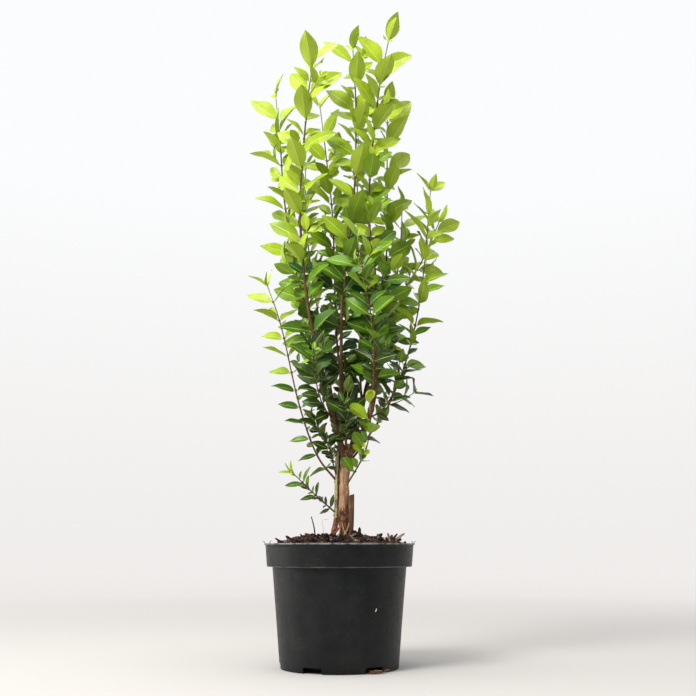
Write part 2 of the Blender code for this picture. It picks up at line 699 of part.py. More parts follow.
def leaf_envelope(leaf, start=0.0):
    """Points and faces of a closed shape that stands a clearance proud of a leaf."""
    rim = leaf_rim(leaf, start, LEAF_CLEARANCE)
    count = len(rim)
    points = [leaf_point(leaf, share, half, LEAF_CLEARANCE) for share, half in rim]
    points += [leaf_point(leaf, share, half, -LEAF_CLEARANCE) for share, half in rim]
    points[0] += leaf.upper * (LEAF_ROOT_DEPTH / 2)
    points[count] -= leaf.upper * (LEAF_ROOT_DEPTH / 2)
    points.append(sum(points[count + 1:], Vector()) / (count - 1)
                  - leaf.upper * (leaf.length * LEAF_THICKNESS_SHARE))
    faces = [tuple(range(count))]
    for here in range(count):
        there = (here + 1) % count
        faces.append((here, here + count, there + count, there))
        faces.append((here + count, 2 * count, there + count))
    return points, faces


def twig_body(twig, margin=0.0):
    """Points and faces of a three-sided twig."""
    count = len(twig.points)
    radii = [between((twig.foot_radius, twig.tip_radius), index / (count - 1)) + margin
             for index in range(count)]
    return tube(list(twig.points), radii, STEM_SIDES)


def search_tree(body):
    """A search tree of a body, in millimetres because crossings under a tenth of one count."""
    points, faces = body
    return BVHTree.FromPolygons([point * 1000.0 for point in points], faces)


class Space:
    """What already stands in the crown: limbs, stems, twigs and leaves, each as a search tree."""

    STEM_MARKS = 40

    def __init__(self):
        self.pieces = []
        self.stems = {}

    def add(self, owner, body, blade=None):
        """Keep a body, and for a leaf also its blade without the root."""
        points = body[0]
        centre = sum(points, Vector()) / len(points)
        radius = max((point - centre).length for point in points)
        tree = search_tree(body)
        self.pieces.append((owner, centre, radius, tree, search_tree(blade) if blade else tree))

    def add_stem(self, shoot):
        """Keep a shoot's stem, and marks along it."""
        route, _ = stem_route(shoot)
        self.stems[shoot.name] = [point_on(route, step / self.STEM_MARKS)[0]
                                  for step in range(self.STEM_MARKS + 1)]
        self.add(shoot.name, stem_body(shoot))

    def is_free(self, owner, body, blade):
        """True where a body stands clear of all that other owners have, and its blade of its own."""
        points = body[0]
        centre = sum(points, Vector()) / len(points)
        radius = max((point - centre).length for point in points)
        tree = search_tree(body)
        blade_tree = search_tree(blade)
        for other, place, reach, other_tree, other_blade in self.pieces:
            if (centre - place).length > radius + reach:
                continue
            if other == owner:
                if blade_tree.overlap(other_blade):
                    return False
            elif tree.overlap(other_tree):
                return False
        return True

    def is_own(self, owner, point):
        """True where a point lies nearer to its own stem than to any other stem."""
        own = min((point - spot).length for spot in self.stems[owner])
        for other, route in self.stems.items():
            if other != owner and min((point - spot).length for spot in route) < own:
                return False
        return True


def round_stem(heading, bearing):
    """The direction that leaves a stem at a bearing in degrees: 0 to the right, 90 to the back."""
    back = Vector((0.0, 1.0, 0.0)) if abs(heading.y) < 0.9 else UP
    back = (back - heading * back.dot(heading)).normalized()
    angle = math.radians(bearing)
    return back.cross(heading) * math.cos(angle) + back * math.sin(angle)


def leaf_at(shoot, root, heading, bearing, spread, length, arch, roll):
    """A leaf that leaves a stem at a bearing round it and a spread away from it.

    Its upper side is turned to the stem's tip, and some way to the outside of the crown.
    """
    lean = math.radians(spread)
    away = round_stem(heading, bearing)
    along = heading * math.cos(lean) + away * math.sin(lean)
    upper = (heading - along * heading.dot(along)).normalized()
    outward = (Vector((root.x, root.y, 0.0)) - CROWN_AXIS).normalized()
    pull = min(LIGHT_PULL * (1.0 - max(0.0, away.dot(outward))), shoot.pull)
    outward = (outward - along * outward.dot(along)).normalized()
    upper = (upper + outward * pull).normalized()
    upper = Matrix.Rotation(math.radians(roll), 3, along) @ upper
    half_width = length * shoot.leaf_breadth / 2
    return Leaf(root, along, along.cross(upper), upper, length, half_width, arch)


def place_leaf(space, shoot, leaves, rng, root, heading, bearing, spread, length):
    """Add a leaf where it fits, turned or shortened a little if need be, or leave it out."""
    length *= rng.uniform(*LEAF_LENGTH_RANGE)
    arch = rng.uniform(*LEAF_ARCH)
    roll = rng.uniform(-LEAF_ROLL, LEAF_ROLL)
    bearing += rng.uniform(-BEARING_JITTER, BEARING_JITTER)
    spread += rng.uniform(-SPREAD_JITTER, SPREAD_JITTER)
    facing = round_stem(heading, bearing)
    if root.z < shoot.front_bare_to and facing.y < -FRONT_FACING:
        return
    if root.z < shoot.right_bare_to and facing.x > RIGHT_FACING:
        return
    for turn, tilt, share in LEAF_TRIES:
        leaf = leaf_at(shoot, root, heading, bearing + turn, spread + tilt, length * share,
                       arch, roll)
        if not space.is_own(shoot.name, leaf.root + leaf.along * (leaf.length * 0.5)):
            continue
        if space.is_free(shoot.name, leaf_envelope(leaf), leaf_envelope(leaf, BLADE_START)):
            leaves.append(leaf)
            space.add(shoot.name, leaf_body(leaf), leaf_body(leaf, BLADE_START))
            return


def place_pair(space, shoot, leaves, rng, root, heading, bearing, spread, length):
    """Add two opposite leaves."""
    for side in (0.0, 180.0):
        place_leaf(space, shoot, leaves, rng, root, heading, bearing + side, spread, length)


def grow_twig(space, shoot, twigs, leaves, rng, root, heading, bearing, length, leaf_length):
    """Add a side twig with pairs of small leaves, if the twig itself stands clear."""
    start = heading * math.cos(TWIG_LEAN) + round_stem(heading, bearing) * math.sin(TWIG_LEAN)
    points = []
    for step in range(4):
        reach = length * step / 3
        points.append(root + start * reach + UP * (reach * reach / length * TWIG_RISE))
    twig = Twig(tuple(points), *TWIG_RADIUS)
    outer = Twig(tuple(points[1:]), *TWIG_RADIUS)
    if not space.is_own(shoot.name, points[-1]):
        return
    if not space.is_free(shoot.name, twig_body(twig, LEAF_CLEARANCE), twig_body(outer, LEAF_CLEARANCE)):
        return
    twigs.append(twig)
    space.add(shoot.name, twig_body(twig), twig_body(outer))
    turn = rng.uniform(0.0, 90.0)
    for number, share in enumerate(TWIG_PAIR_PLACES):
        spot, along = point_on(points, share)
        place_pair(space, shoot, leaves, rng, spot, along, turn + 90.0 * number,
                   TWIG_LEAF_SPREAD, leaf_length)


def stem_route(shoot):
    """The stem's evenly spaced points, and its length."""
    _, length = smooth_route(shoot.route, 2)
    return smooth_route(shoot.route, max(4, round(length / STEM_STEP) + 1))


def stem_body(shoot):
    """Points and faces of a shoot's stem."""
    route, _ = stem_route(shoot)
    count = len(route)
    radii = [between(shoot.stem_radius, index / (count - 1)) for index in range(count)]
    return tube(route, radii, STEM_SIDES)


def grow_shoot(shoot, space):
    """The twigs and leaves of one shoot, by a rule that its seed varies."""
    rng = random.Random(shoot.seed)
    route, length = stem_route(shoot)
    twigs = []
    leaves = []
    distance = shoot.first_pair
    pair = 0
    while distance < length - shoot.pair_gap[1] * TOP_GAP_SHARE:
        share = distance / length
        root, heading = point_on(route, share)
        leaf_length = between(shoot.leaf_length, min(share / FULL_LEAF_SHARE, 1.0))
        bearing = shoot.bearing + shoot.pair_turn * (pair % 2) + rng.uniform(-PAIR_JITTER, PAIR_JITTER)
        place_pair(space, shoot, leaves, rng, root, heading, bearing,
                   between(shoot.spread, share), leaf_length)
        first_twig, last_twig = shoot.twig_pairs
        if last_twig and first_twig <= pair <= last_twig:
            side = 180.0 * rng.randint(0, 1) + rng.uniform(-TWIG_JITTER, TWIG_JITTER)
            grow_twig(space, shoot, twigs, leaves, rng, root, heading, bearing + side,
                      rng.uniform(*TWIG_LENGTH), leaf_length * TWIG_LEAF_SHARE)
        distance += between(shoot.pair_gap, share) * rng.uniform(*PAIR_GAP_RANGE)
        pair += 1
    tip, heading = point_on(route, TOP_PLACE)
    bearing = shoot.bearing + shoot.pair_turn * (pair % 2)
    place_pair(space, shoot, leaves, rng, tip, heading, bearing, TOP_PAIR_SPREAD,
               shoot.leaf_length[1] * TOP_PAIR_SHARE)
    place_leaf(space, shoot, leaves, rng, tip, heading, FRONT + rng.uniform(-TOP_JITTER, TOP_JITTER),
               TOP_LEAF_SPREAD, shoot.top_leaf)
    return twigs, leaves


def build_foliage():
    """Each shoot as one solid: its stem, side twigs and leaves joined, clear of all others."""
    space = Space()
    space.add("trunk", trunk_shape(GAP))
    for limb in LIMBS:
        space.add(limb.name, limb_shape(limb, GAP))
    for shoot in SHOOTS:
        space.add_stem(shoot)
    for shoot in SHOOTS:
        twigs, leaves = grow_shoot(shoot, space)
        stem = add_object(shoot.name, mesh_from(shoot.name, *stem_body(shoot)))
        group = bpy.data.collections.new(shoot.name + "_leaves")
        bpy.context.scene.collection.children.link(group)
        for twig in twigs:
            add_object("twig", mesh_from("twig", *twig_body(twig)), group=group)
        for leaf in leaves:
            add_object("leaf", mesh_from("leaf", *leaf_body(leaf)), group=group)
        apply_boolean(stem, "UNION", "MANIFOLD", group=group)
        for obj in list(group.objects):
            bpy.data.objects.remove(obj, do_unlink=True)
        bpy.data.collections.remove(group)
        cut_clear(stem, shoot.carrier, "MANIFOLD")
        keep_largest_body(stem)
        height = shoot.route[-1][2]
        share = (height - LOW_GREEN_HEIGHT) / (TOP_GREEN_HEIGHT - LOW_GREEN_HEIGHT)
        share = min(max(share, 0.0), 1.0)
        colour = tuple(between(pair, share) for pair in zip(LOW_LEAF_GREEN, TOP_LEAF_GREEN))
        stem.data.materials.clear()
        stem.data.materials.append(finish(shoot.name + "_green", colour, 0.40))


def main():
    """Build the whole plant in its pot."""
    clear_scene()
    build_pot()
    build_soil()
    build_wood()
    build_foliage()


main()
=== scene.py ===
"""A California privet in a round nursery pot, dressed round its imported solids.

Every leafy shoot grows by the rule of its solid, with the same seed, and is then carried on to
finer twigs. Metres, +Z up. The origin is the middle of the pot's flat underside, -Y is the front.
"""

import logging
import math
import random
from collections.abc import Callable, Sequence
from dataclasses import dataclass, field, replace
from enum import Enum

import bmesh
import bpy
from mathutils import Matrix, Vector, noise
from mathutils.bvhtree import BVHTree


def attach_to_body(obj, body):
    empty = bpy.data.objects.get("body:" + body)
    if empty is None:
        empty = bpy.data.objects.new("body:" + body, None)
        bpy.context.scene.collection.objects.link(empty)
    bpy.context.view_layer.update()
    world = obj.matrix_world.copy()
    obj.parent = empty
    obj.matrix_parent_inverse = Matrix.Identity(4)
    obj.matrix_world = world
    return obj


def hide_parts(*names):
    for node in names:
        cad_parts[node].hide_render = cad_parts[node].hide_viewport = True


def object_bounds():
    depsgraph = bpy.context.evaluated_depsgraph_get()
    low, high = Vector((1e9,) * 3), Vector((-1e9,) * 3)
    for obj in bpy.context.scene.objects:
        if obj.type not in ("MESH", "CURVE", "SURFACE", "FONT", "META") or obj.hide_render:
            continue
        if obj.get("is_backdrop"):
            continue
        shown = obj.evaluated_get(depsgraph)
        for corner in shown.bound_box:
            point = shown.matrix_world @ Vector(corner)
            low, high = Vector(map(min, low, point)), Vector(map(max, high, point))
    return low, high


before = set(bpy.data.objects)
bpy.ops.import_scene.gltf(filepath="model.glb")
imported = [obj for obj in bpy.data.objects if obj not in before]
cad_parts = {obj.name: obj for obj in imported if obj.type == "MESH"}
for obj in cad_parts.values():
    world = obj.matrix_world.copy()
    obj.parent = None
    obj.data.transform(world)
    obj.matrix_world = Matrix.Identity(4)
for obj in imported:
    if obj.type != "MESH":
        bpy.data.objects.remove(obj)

LOG = logging.getLogger("potted_privet")
UP = Vector((0.0, 0.0, 1.0))
GAP = 0.0003
LEAF_CLEARANCE = 0.0005
ROUTE_STEPS = 24
OPPOSITE = (0.0, 180.0)
BLACK = (0.0, 0.0, 0.0, 1.0)

Tint = tuple[int, int, int]
Colour = tuple[float, float, float, float]
Mark = tuple[float, float, float]
Ends = tuple[float, float]
Route = list[Vector]
Spot = tuple[Vector, Vector]
Face = tuple[int, ...]
Body = tuple[list[Vector], list[Face]]
Tree = bpy.types.NodeTree
Socket = bpy.types.NodeSocket
Material = bpy.types.Material


def shown(*tint: int) -> Colour:
    """A colour as a screen shows it, turned into the linear values of a shader.

    Args:
        tint: Red, green and blue from 0 to 255.

    Returns:
        Linear red, green, blue and an alpha of one.
    """
    parts = [part / 255.0 for part in tint]
    linear = [part / 12.92 if part <= 0.04045 else ((part + 0.055) / 1.055) ** 2.4 for part in parts]
    return (*linear, 1.0)


def between(ends: Ends, share: float) -> float:
    """The value at a share of the way from the first end to the second."""
    return ends[0] + (ends[1] - ends[0]) * share


def tapered(ends: Ends, count: int, extra: float = 0.0) -> list[float]:
    """Evenly changing radii from the first end to the second, with something added to each."""
    return [between(ends, step / (count - 1)) + extra for step in range(count)]


def clamped(value: float) -> float:
    """The value, kept from 0 to 1."""
    return min(max(value, 0.0), 1.0)


def polar(radius: float, angle: float, height: float = 0.0) -> Vector:
    """The point at a distance from the upright axis, an angle round it and a height."""
    return Vector((radius * math.cos(angle), radius * math.sin(angle), height))


def link(name: str, data: bpy.types.ID) -> bpy.types.Object:
    """Links some data to the scene.

    Args:
        name: The object's name.
        data: A mesh, a camera or a light.

    Returns:
        The new object.
    """
    made = bpy.data.objects.new(name, data)
    bpy.context.scene.collection.objects.link(made)
    return made


# Shaders

class Wiring:
    """A node tree, with short calls that add a node and join its sockets."""

    def __init__(self, tree: Tree) -> None:
        """Keeps the tree."""
        self.tree = tree

    def fill(self, node: bpy.types.Node, sockets: dict) -> None:
        """Gives a node's inputs their values, or joins them to the outputs that feed them.

        Args:
            node: The node.
            sockets: Input name or number to a value or an output.
        """
        for key, value in sockets.items():
            if isinstance(value, Socket):
                self.tree.links.new(value, node.inputs[key])
            else:
                node.inputs[key].default_value = value

    def node(self, kind: str, sockets: dict | None = None, **settings: object) -> Sequence[Socket]:
        """Adds a shader node.

        Args:
            kind: The end of its type name.
            sockets: Input name or number to a value or an output.
            settings: Its properties.

        Returns:
            Its outputs.
        """
        made = self.tree.nodes.new("ShaderNode" + kind)
        for key, value in settings.items():
            setattr(made, key, value)
        self.fill(made, sockets or {})
        return made.outputs

    def maths(self, operation: str, *values: object) -> Socket:
        """A sum, difference or other operation on numbers or outputs."""
        return self.node("Math", dict(enumerate(values)), operation=operation)[0]

    def times(self, first: object, second: object) -> Socket:
        """A product of numbers or outputs."""
        return self.maths("MULTIPLY", first, second)

    def moved(self, operation: str, first: object, second: object) -> Socket:
        """A sum or product of vectors."""
        return self.node("VectorMath", {0: first, 1: second}, operation=operation)[0]

    def stretch(self, value: object, low: object, high: object) -> Socket:
        """A value's place between low and high, kept from 0 to 1."""
        return self.node("MapRange", {"Value": value, "From Min": low, "From Max": high}, clamp=True)[0]

    def blend(self, share: object, first: object, second: object) -> Socket:
        """A mix of two colours."""
        return self.node("Mix", {0: share, 6: first, 7: second}, data_type="RGBA")[2]

    def place(self) -> Socket:
        """The place on the object."""
        return self.node("TexCoord")["Object"]

    def marks(self, name: str) -> Socket:
        """The marks that a mesh gives its points."""
        return self.node("Attribute", attribute_name=name)["Vector"]

    def noise(self, place: object, size: object, detail: float, **more: float) -> Sequence[Socket]:
        """The outputs of a noise texture of some size and detail."""
        return self.node("TexNoise", {"Vector": place, "Scale": size, "Detail": detail, **more})

    def cells(self, place: object, size: object, feature: str = "F1") -> Socket:
        """The distance to the middle or the edge of a cell, in a pattern of cells."""
        return self.node("TexVoronoi", {"Vector": place, "Scale": size}, feature=feature)["Distance"]


class Effect(Enum):
    """The surface effects that several materials share."""

    MOTTLE = "mottle"
    GRANULES = "granules"
    GRAIN = "grain"
    DUST = "dust"
    VEINS = "veins"


class EffectLibrary:
    """Makes each shared effect once, as a shader node group."""

    def __init__(self) -> None:
        """Starts with no group made."""
        self.made: dict[Effect, Tree] = {}
        self.recipes: dict[Effect, Callable[[], Tree]] = {
            Effect.MOTTLE: self.build_mottle, Effect.GRANULES: self.build_granules,
            Effect.GRAIN: self.build_grain, Effect.DUST: self.build_dust, Effect.VEINS: self.build_veins}

    def place(self, wiring: Wiring, effect: Effect, **values: object) -> Sequence[Socket]:
        """Places an effect in a material, and makes it at its first use.

        Args:
            wiring: The material's node tree.
            effect: Which effect.
            values: Input name to a value or an output.

        Returns:
            The outputs of its group node.
        """
        if effect not in self.made:
            self.made[effect] = self.recipes[effect]()
        return wiring.node("Group", values, node_tree=self.made[effect])

    @staticmethod
    def start(name: str, inputs: dict[str, object], *outputs: str) -> tuple:
        """Starts a group with named sockets.

        Args:
            name: The group's name.
            inputs: Input name to its usual value, a number or a colour.
            outputs: Output names. All but Color are numbers.

        Returns:
            The wiring, what the inputs give, and the node of the outputs.
        """
        tree = bpy.data.node_groups.new(name, "ShaderNodeTree")
        for label, value in inputs.items():
            kind = "NodeSocketFloat" if isinstance(value, float) else "NodeSocketColor"
            tree.interface.new_socket(name=label, in_out="INPUT", socket_type=kind).default_value = value
        for label in outputs:
            kind = "NodeSocketColor" if label == "Color" else "NodeSocketFloat"
            tree.interface.new_socket(name=label, in_out="OUTPUT", socket_type=kind)
        return Wiring(tree), tree.nodes.new("NodeGroupInput").outputs, tree.nodes.new("NodeGroupOutput")

    def build_mottle(self) -> Tree:
        """Cloudy patches of a second colour on a first one.

        Returns:
            The group.
        """
        wiring, given, out = self.start("cloudy_mottle", {"First": BLACK, "Second": BLACK, "Size": 60.0,
                                                          "Low": 0.42, "High": 0.62}, "Color", "Mask")
        cloud = wiring.noise(wiring.place(), given["Size"], 5.0, Roughness=0.62)
        mask = wiring.stretch(cloud["Fac"], given["Low"], given["High"])
        wiring.fill(out, {"Color": wiring.blend(mask, given["First"], given["Second"]), "Mask": mask})
        return wiring.tree

    def build_granules(self) -> Tree:
        """Fine pits and grains, as a height.

        Returns:
            The group.
        """
        wiring, given, out = self.start("fine_granules", {"Size": 900.0, "Coarse": 0.4}, "Height")
        place = wiring.place()
        fine = wiring.noise(place, given["Size"], 3.0)["Fac"]
        wide = wiring.noise(place, wiring.times(given["Size"], 0.17), 4.0)["Fac"]
        wiring.fill(out, {"Height": wiring.maths("ADD", fine, wiring.times(wide, given["Coarse"]))})
        return wiring.tree

    def build_grain(self) -> Tree:
        """Streaks and cracks along a limb, a chip or a fibre, as masks and a height, and a crack mask for
        painted shade.

        Returns:
            The group.
        """
        wiring, given, out = self.start("long_grain", {"Size": 900.0, "Length": 0.14, "Crack": 0.5},
                                        "Mask", "Height", "Fissure")
        squeeze = wiring.node("CombineXYZ", {0: 1.0, 1: 1.0, 2: given["Length"]})[0]
        along = wiring.moved("MULTIPLY", wiring.marks("grain"), squeeze)
        streak = wiring.noise(along, given["Size"], 6.0, Roughness=0.68, Distortion=0.35)
        mask = wiring.stretch(streak["Fac"], 0.36, 0.66)
        crack = wiring.cells(along, wiring.times(given["Size"], 0.55), "DISTANCE_TO_EDGE")
        edge = wiring.maths("SUBTRACT", wiring.stretch(crack, 0.0, 0.10), 1.0)
        drift = wiring.moved("MULTIPLY", streak["Color"], (0.006, 0.006, 0.006))
        gap = wiring.cells(wiring.moved("ADD", along, drift), wiring.times(given["Size"], 0.24),
                           "DISTANCE_TO_EDGE")
        fissure = wiring.times(wiring.stretch(gap, 0.12, 0.01), given["Crack"])
        depth = wiring.maths("SUBTRACT", wiring.times(edge, given["Crack"]), fissure)
        wiring.fill(out, {"Mask": mask, "Height": wiring.maths("ADD", mask, depth), "Fissure": fissure})
        return wiring.tree

    def build_dust(self) -> Tree:
        """Dust that gathers in patches, most of it on what faces up, as a mask.

        Returns:
            The group.
        """
        wiring, given, out = self.start("settled_dust", {"Amount": 0.4, "Size": 40.0, "Sides": 0.2}, "Mask")
        facing = wiring.node("SeparateXYZ", {0: wiring.node("NewGeometry")["Normal"]})[2]
        upward = wiring.maths("MAXIMUM", wiring.stretch(facing, 0.1, 0.9), given["Sides"])
        cloud = wiring.noise(wiring.place(), given["Size"], 8.0, Roughness=0.7)["Fac"]
        amount = wiring.times(wiring.times(upward, wiring.stretch(cloud, 0.40, 0.72)), given["Amount"])
        wiring.fill(out, {"Mask": amount})
        return wiring.tree

    def build_veins(self) -> Tree:
        """Side veins that leave the midrib aslant, as a height and a mask.

        Returns:
            The group.
        """
        wiring, given, out = self.start("side_veins", {"Count": 9.0, "Slant": 2.6}, "Height", "Mask")
        along, across, shift = wiring.node("SeparateXYZ", {0: wiring.marks("blade")})
        aside = wiring.maths("ABSOLUTE", across)
        slanted = wiring.maths("SUBTRACT", wiring.times(along, given["Count"]),
                               wiring.times(aside, given["Slant"]))
        wave = wiring.maths("SINE", wiring.times(wiring.maths("ADD", slanted, shift), math.tau))
        mask = wiring.times(wiring.stretch(wave, 0.72, 1.0), wiring.stretch(aside, 0.95, 0.35))
        wiring.fill(out, {"Height": wiring.times(mask, -1.0), "Mask": mask})
        return wiring.tree


EFFECTS = EffectLibrary()


def new_material(name: str, **constants: object) -> tuple[Material, Wiring, bpy.types.Node]:
    """A material with a Principled shader and constants on the shader's own sockets.

    Args:
        name: The material's name.
        constants: Socket name to value, with underscores for spaces.

    Returns:
        The material, the wiring of its tree and the shader node.
    """
    material = bpy.data.materials.new(name)
    material.use_nodes = True
    wiring = Wiring(material.node_tree)
    shader = material.node_tree.nodes["Principled BSDF"]
    wiring.fill(shader, {key.replace("_", " "): value for key, value in constants.items()})
    return material, wiring, shader


def raise_relief(wiring: Wiring, shader: bpy.types.Node, height: Socket, depth: float,
                 strength: float) -> None:
    """Feeds a height through a Bump node to a shader's Normal.

    Args:
        wiring: The material's tree.
        shader: The Principled shader.
        height: The height output.
        depth: How deep the relief is, in metres.
        strength: How strongly it shows.
    """
    bump = wiring.node("Bump", {"Height": height, "Distance": depth, "Strength": strength})
    wiring.fill(shader, {"Normal": bump[0]})


PALE_UNDER = shown(160, 180, 84)
PALE_RIB = shown(214, 226, 118)
LEAF_SHADOW = shown(26, 46, 8)


@dataclass(frozen=True)
class LeafTone:
    """One kind of leaf, from the colour of its upper side."""

    name: str
    upper: Colour
    roughness: float = 0.36

    VEIN_DEPTH = 0.0002

    def toward(self, other: Colour, share: float) -> Colour:
        """The upper side's colour, some way to another one."""
        return tuple(between(pair, share) for pair in zip(self.upper, other))

    def side(self, part: str, colours: tuple[Colour, Colour], roughness: float, vein: float,
             sunk: float) -> Material:
        """One side of the blade, with faint side veins and cloudy patches.

        Args:
            part: Which side, for the material's name.
            colours: Its colour and that of its patches.
            roughness: Its roughness between the patches.
            vein: How much the side veins show.
            sunk: 1 where the veins are sunk, -1 where they stand out.

        Returns:
            The material.
        """
        material, wiring, shader = new_material(f"leaf_{self.name}_{part}", Specular_IOR_Level=0.30,
                                                Coat_Weight=0.10, Coat_Roughness=0.20)
        patches = EFFECTS.place(wiring, Effect.MOTTLE, First=colours[0], Second=colours[1], Size=46.0,
                                Low=0.40, High=0.70)
        veins = EFFECTS.place(wiring, Effect.VEINS)
        rough = wiring.maths("ADD", wiring.times(patches["Mask"], 0.12), roughness)
        colour = wiring.blend(wiring.times(veins["Mask"], vein), patches["Color"], PALE_RIB)
        wiring.fill(shader, {"Base Color": colour, "Roughness": rough})
        raise_relief(wiring, shader, wiring.times(veins["Height"], sunk), self.VEIN_DEPTH, 0.4)
        return material

    def materials(self) -> tuple[Material, ...]:
        """Makes the three materials of a leaf.

        Returns:
            Those of the upper side, the underside, and the midrib with the stalk.
        """
        over = self.side("upper", (self.upper, self.toward(LEAF_SHADOW, 0.28)), self.roughness, 0.10, 1.0)
        under = self.side("under", (self.toward(PALE_UNDER, 0.34), self.toward(PALE_UNDER, 0.20)), 0.60,
                          0.12, -1.0)
        rib, wiring, shader = new_material(f"leaf_{self.name}_rib", Roughness=0.48)
        patches = EFFECTS.place(wiring, Effect.MOTTLE, First=self.toward(PALE_RIB, 0.62),
                                Second=self.toward(PALE_RIB, 0.40), Size=120.0, Low=0.45, High=0.75)
        wiring.fill(shader, {"Base Color": patches["Color"]})
        return over, under, rib


# From the lime of the young tops to the dark green of the old wood, then the blue-green ones
LEAF_TONES = (
    LeafTone("lime", shown(176, 200, 38)), LeafTone("bright", shown(167, 192, 32)),
    LeafTone("fresh", shown(151, 181, 24)), LeafTone("grass", shown(126, 165, 18)),
    LeafTone("middle", shown(94, 138, 8)), LeafTone("deep", shown(66, 110, 8)),
    LeafTone("dark", shown(46, 82, 6)), LeafTone("shade", shown(34, 60, 6), 0.34),
    LeafTone("blue_green", shown(28, 88, 38), 0.32),
)
BLUE_GREEN = len(LEAF_TONES) - 1

PORE_COLOUR = shown(186, 160, 128)
CRACK_SHADE_COLOUR = shown(34, 23, 15)
BARK_DUST = shown(168, 152, 130)


@dataclass(frozen=True)
class BarkFinish:
    """Bark: two tones that run along the limb, a cloudy third one, and pale pores."""

    name: str
    light: Tint
    dark: Tint
    patch: Tint
    grain_size: float = 1100.0
    grain_length: float = 0.14
    crack: float = 0.6
    relief: float = 0.0006
    pores: float = 0.0
    patch_low: float = 0.50
    dust: float = 0.18

    def material(self) -> Material:
        """The bark, with its relief, dust, pores and shade painted dark into its cracks.

        Returns:
            The material.
        """
        material, wiring, shader = new_material(f"bark_{self.name}", Specular_IOR_Level=0.3)
        grain = EFFECTS.place(wiring, Effect.GRAIN, Size=self.grain_size, Length=self.grain_length,
                              Crack=self.crack)
        patches = EFFECTS.place(wiring, Effect.MOTTLE, First=shown(*self.light), Second=shown(*self.patch),
                                Size=85.0, Low=self.patch_low, High=self.patch_low + 0.14)
        colour = wiring.blend(grain["Mask"], shown(*self.dark), patches["Color"])
        height = grain["Height"]
        if self.pores:
            dots = wiring.times(wiring.stretch(wiring.cells(wiring.place(), 240.0), 0.26, 0.16), self.pores)
            colour = wiring.blend(dots, colour, PORE_COLOUR)
            height = wiring.maths("ADD", height, wiring.times(dots, 0.8))
        dust = EFFECTS.place(wiring, Effect.DUST, Amount=self.dust, Size=70.0, Sides=0.35)
        colour = wiring.blend(dust["Mask"], colour, BARK_DUST)
        # Painted shade: the cracks are darkened in colour.
        colour = wiring.blend(grain["Fissure"], colour, CRACK_SHADE_COLOUR)
        rough = wiring.maths("SUBTRACT", 0.92, wiring.times(grain["Mask"], 0.22))
        wiring.fill(shader, {"Base Color": colour, "Roughness": rough})
        granules = EFFECTS.place(wiring, Effect.GRANULES, Size=1500.0, Coarse=0.5)
        relief = wiring.maths("ADD", height, wiring.times(granules["Height"], 0.35))
        raise_relief(wiring, shader, relief, self.relief, 0.9)
        return material


TRUNK_BARK = BarkFinish("trunk", (214, 178, 142), (150, 108, 78), (180, 132, 96), grain_size=620.0,
                        grain_length=0.12, crack=0.25, patch_low=0.46)
FOOT_BARK = BarkFinish("trunk_foot", (196, 148, 104), (92, 58, 34), (150, 92, 50), grain_size=560.0,
                       grain_length=0.34, crack=0.85, relief=0.0011, patch_low=0.44)
STEM_BARK = BarkFinish("second_stem", (218, 214, 164), (156, 142, 98), (202, 204, 146), grain_size=900.0,
                       crack=0.2, patch_low=0.42)
BROWN_BARK = BarkFinish("brown_stem", (158, 116, 82), (88, 58, 40), (120, 84, 54), grain_size=900.0,
                        crack=0.5, patch_low=0.42)
RED_BARK = BarkFinish("red_foot", (196, 130, 98), (112, 62, 44), (166, 96, 66), grain_size=900.0,
                      relief=0.0009, patch_low=0.42)
BOUGH_BARK = BarkFinish("bough", (140, 102, 70), (78, 54, 36), (112, 90, 58), grain_size=1500.0, crack=0.3,
                        relief=0.0004, pores=0.7)
CUT_WOOD = BarkFinish("cut_wood", (176, 112, 84), (128, 72, 52), (196, 150, 120), grain_size=1300.0,
                      grain_length=1.0, crack=0.5, relief=0.0004)
OLD_TWIG = BarkFinish("old_twig", (120, 84, 52), (76, 50, 34), (96, 92, 48), grain_size=2400.0, crack=0.2,
                      relief=0.0002, pores=0.6)
YOUNG_TWIG = BarkFinish("young_twig", (112, 84, 74), (74, 52, 50), (104, 104, 62), grain_size=3200.0,
                        crack=0.1, relief=0.0002, pores=0.4)
GREEN_TWIG = BarkFinish("green_twig", (156, 168, 92), (118, 132, 66), (132, 110, 74), grain_size=3600.0,
                        crack=0.1, relief=0.0001)


# Meshes

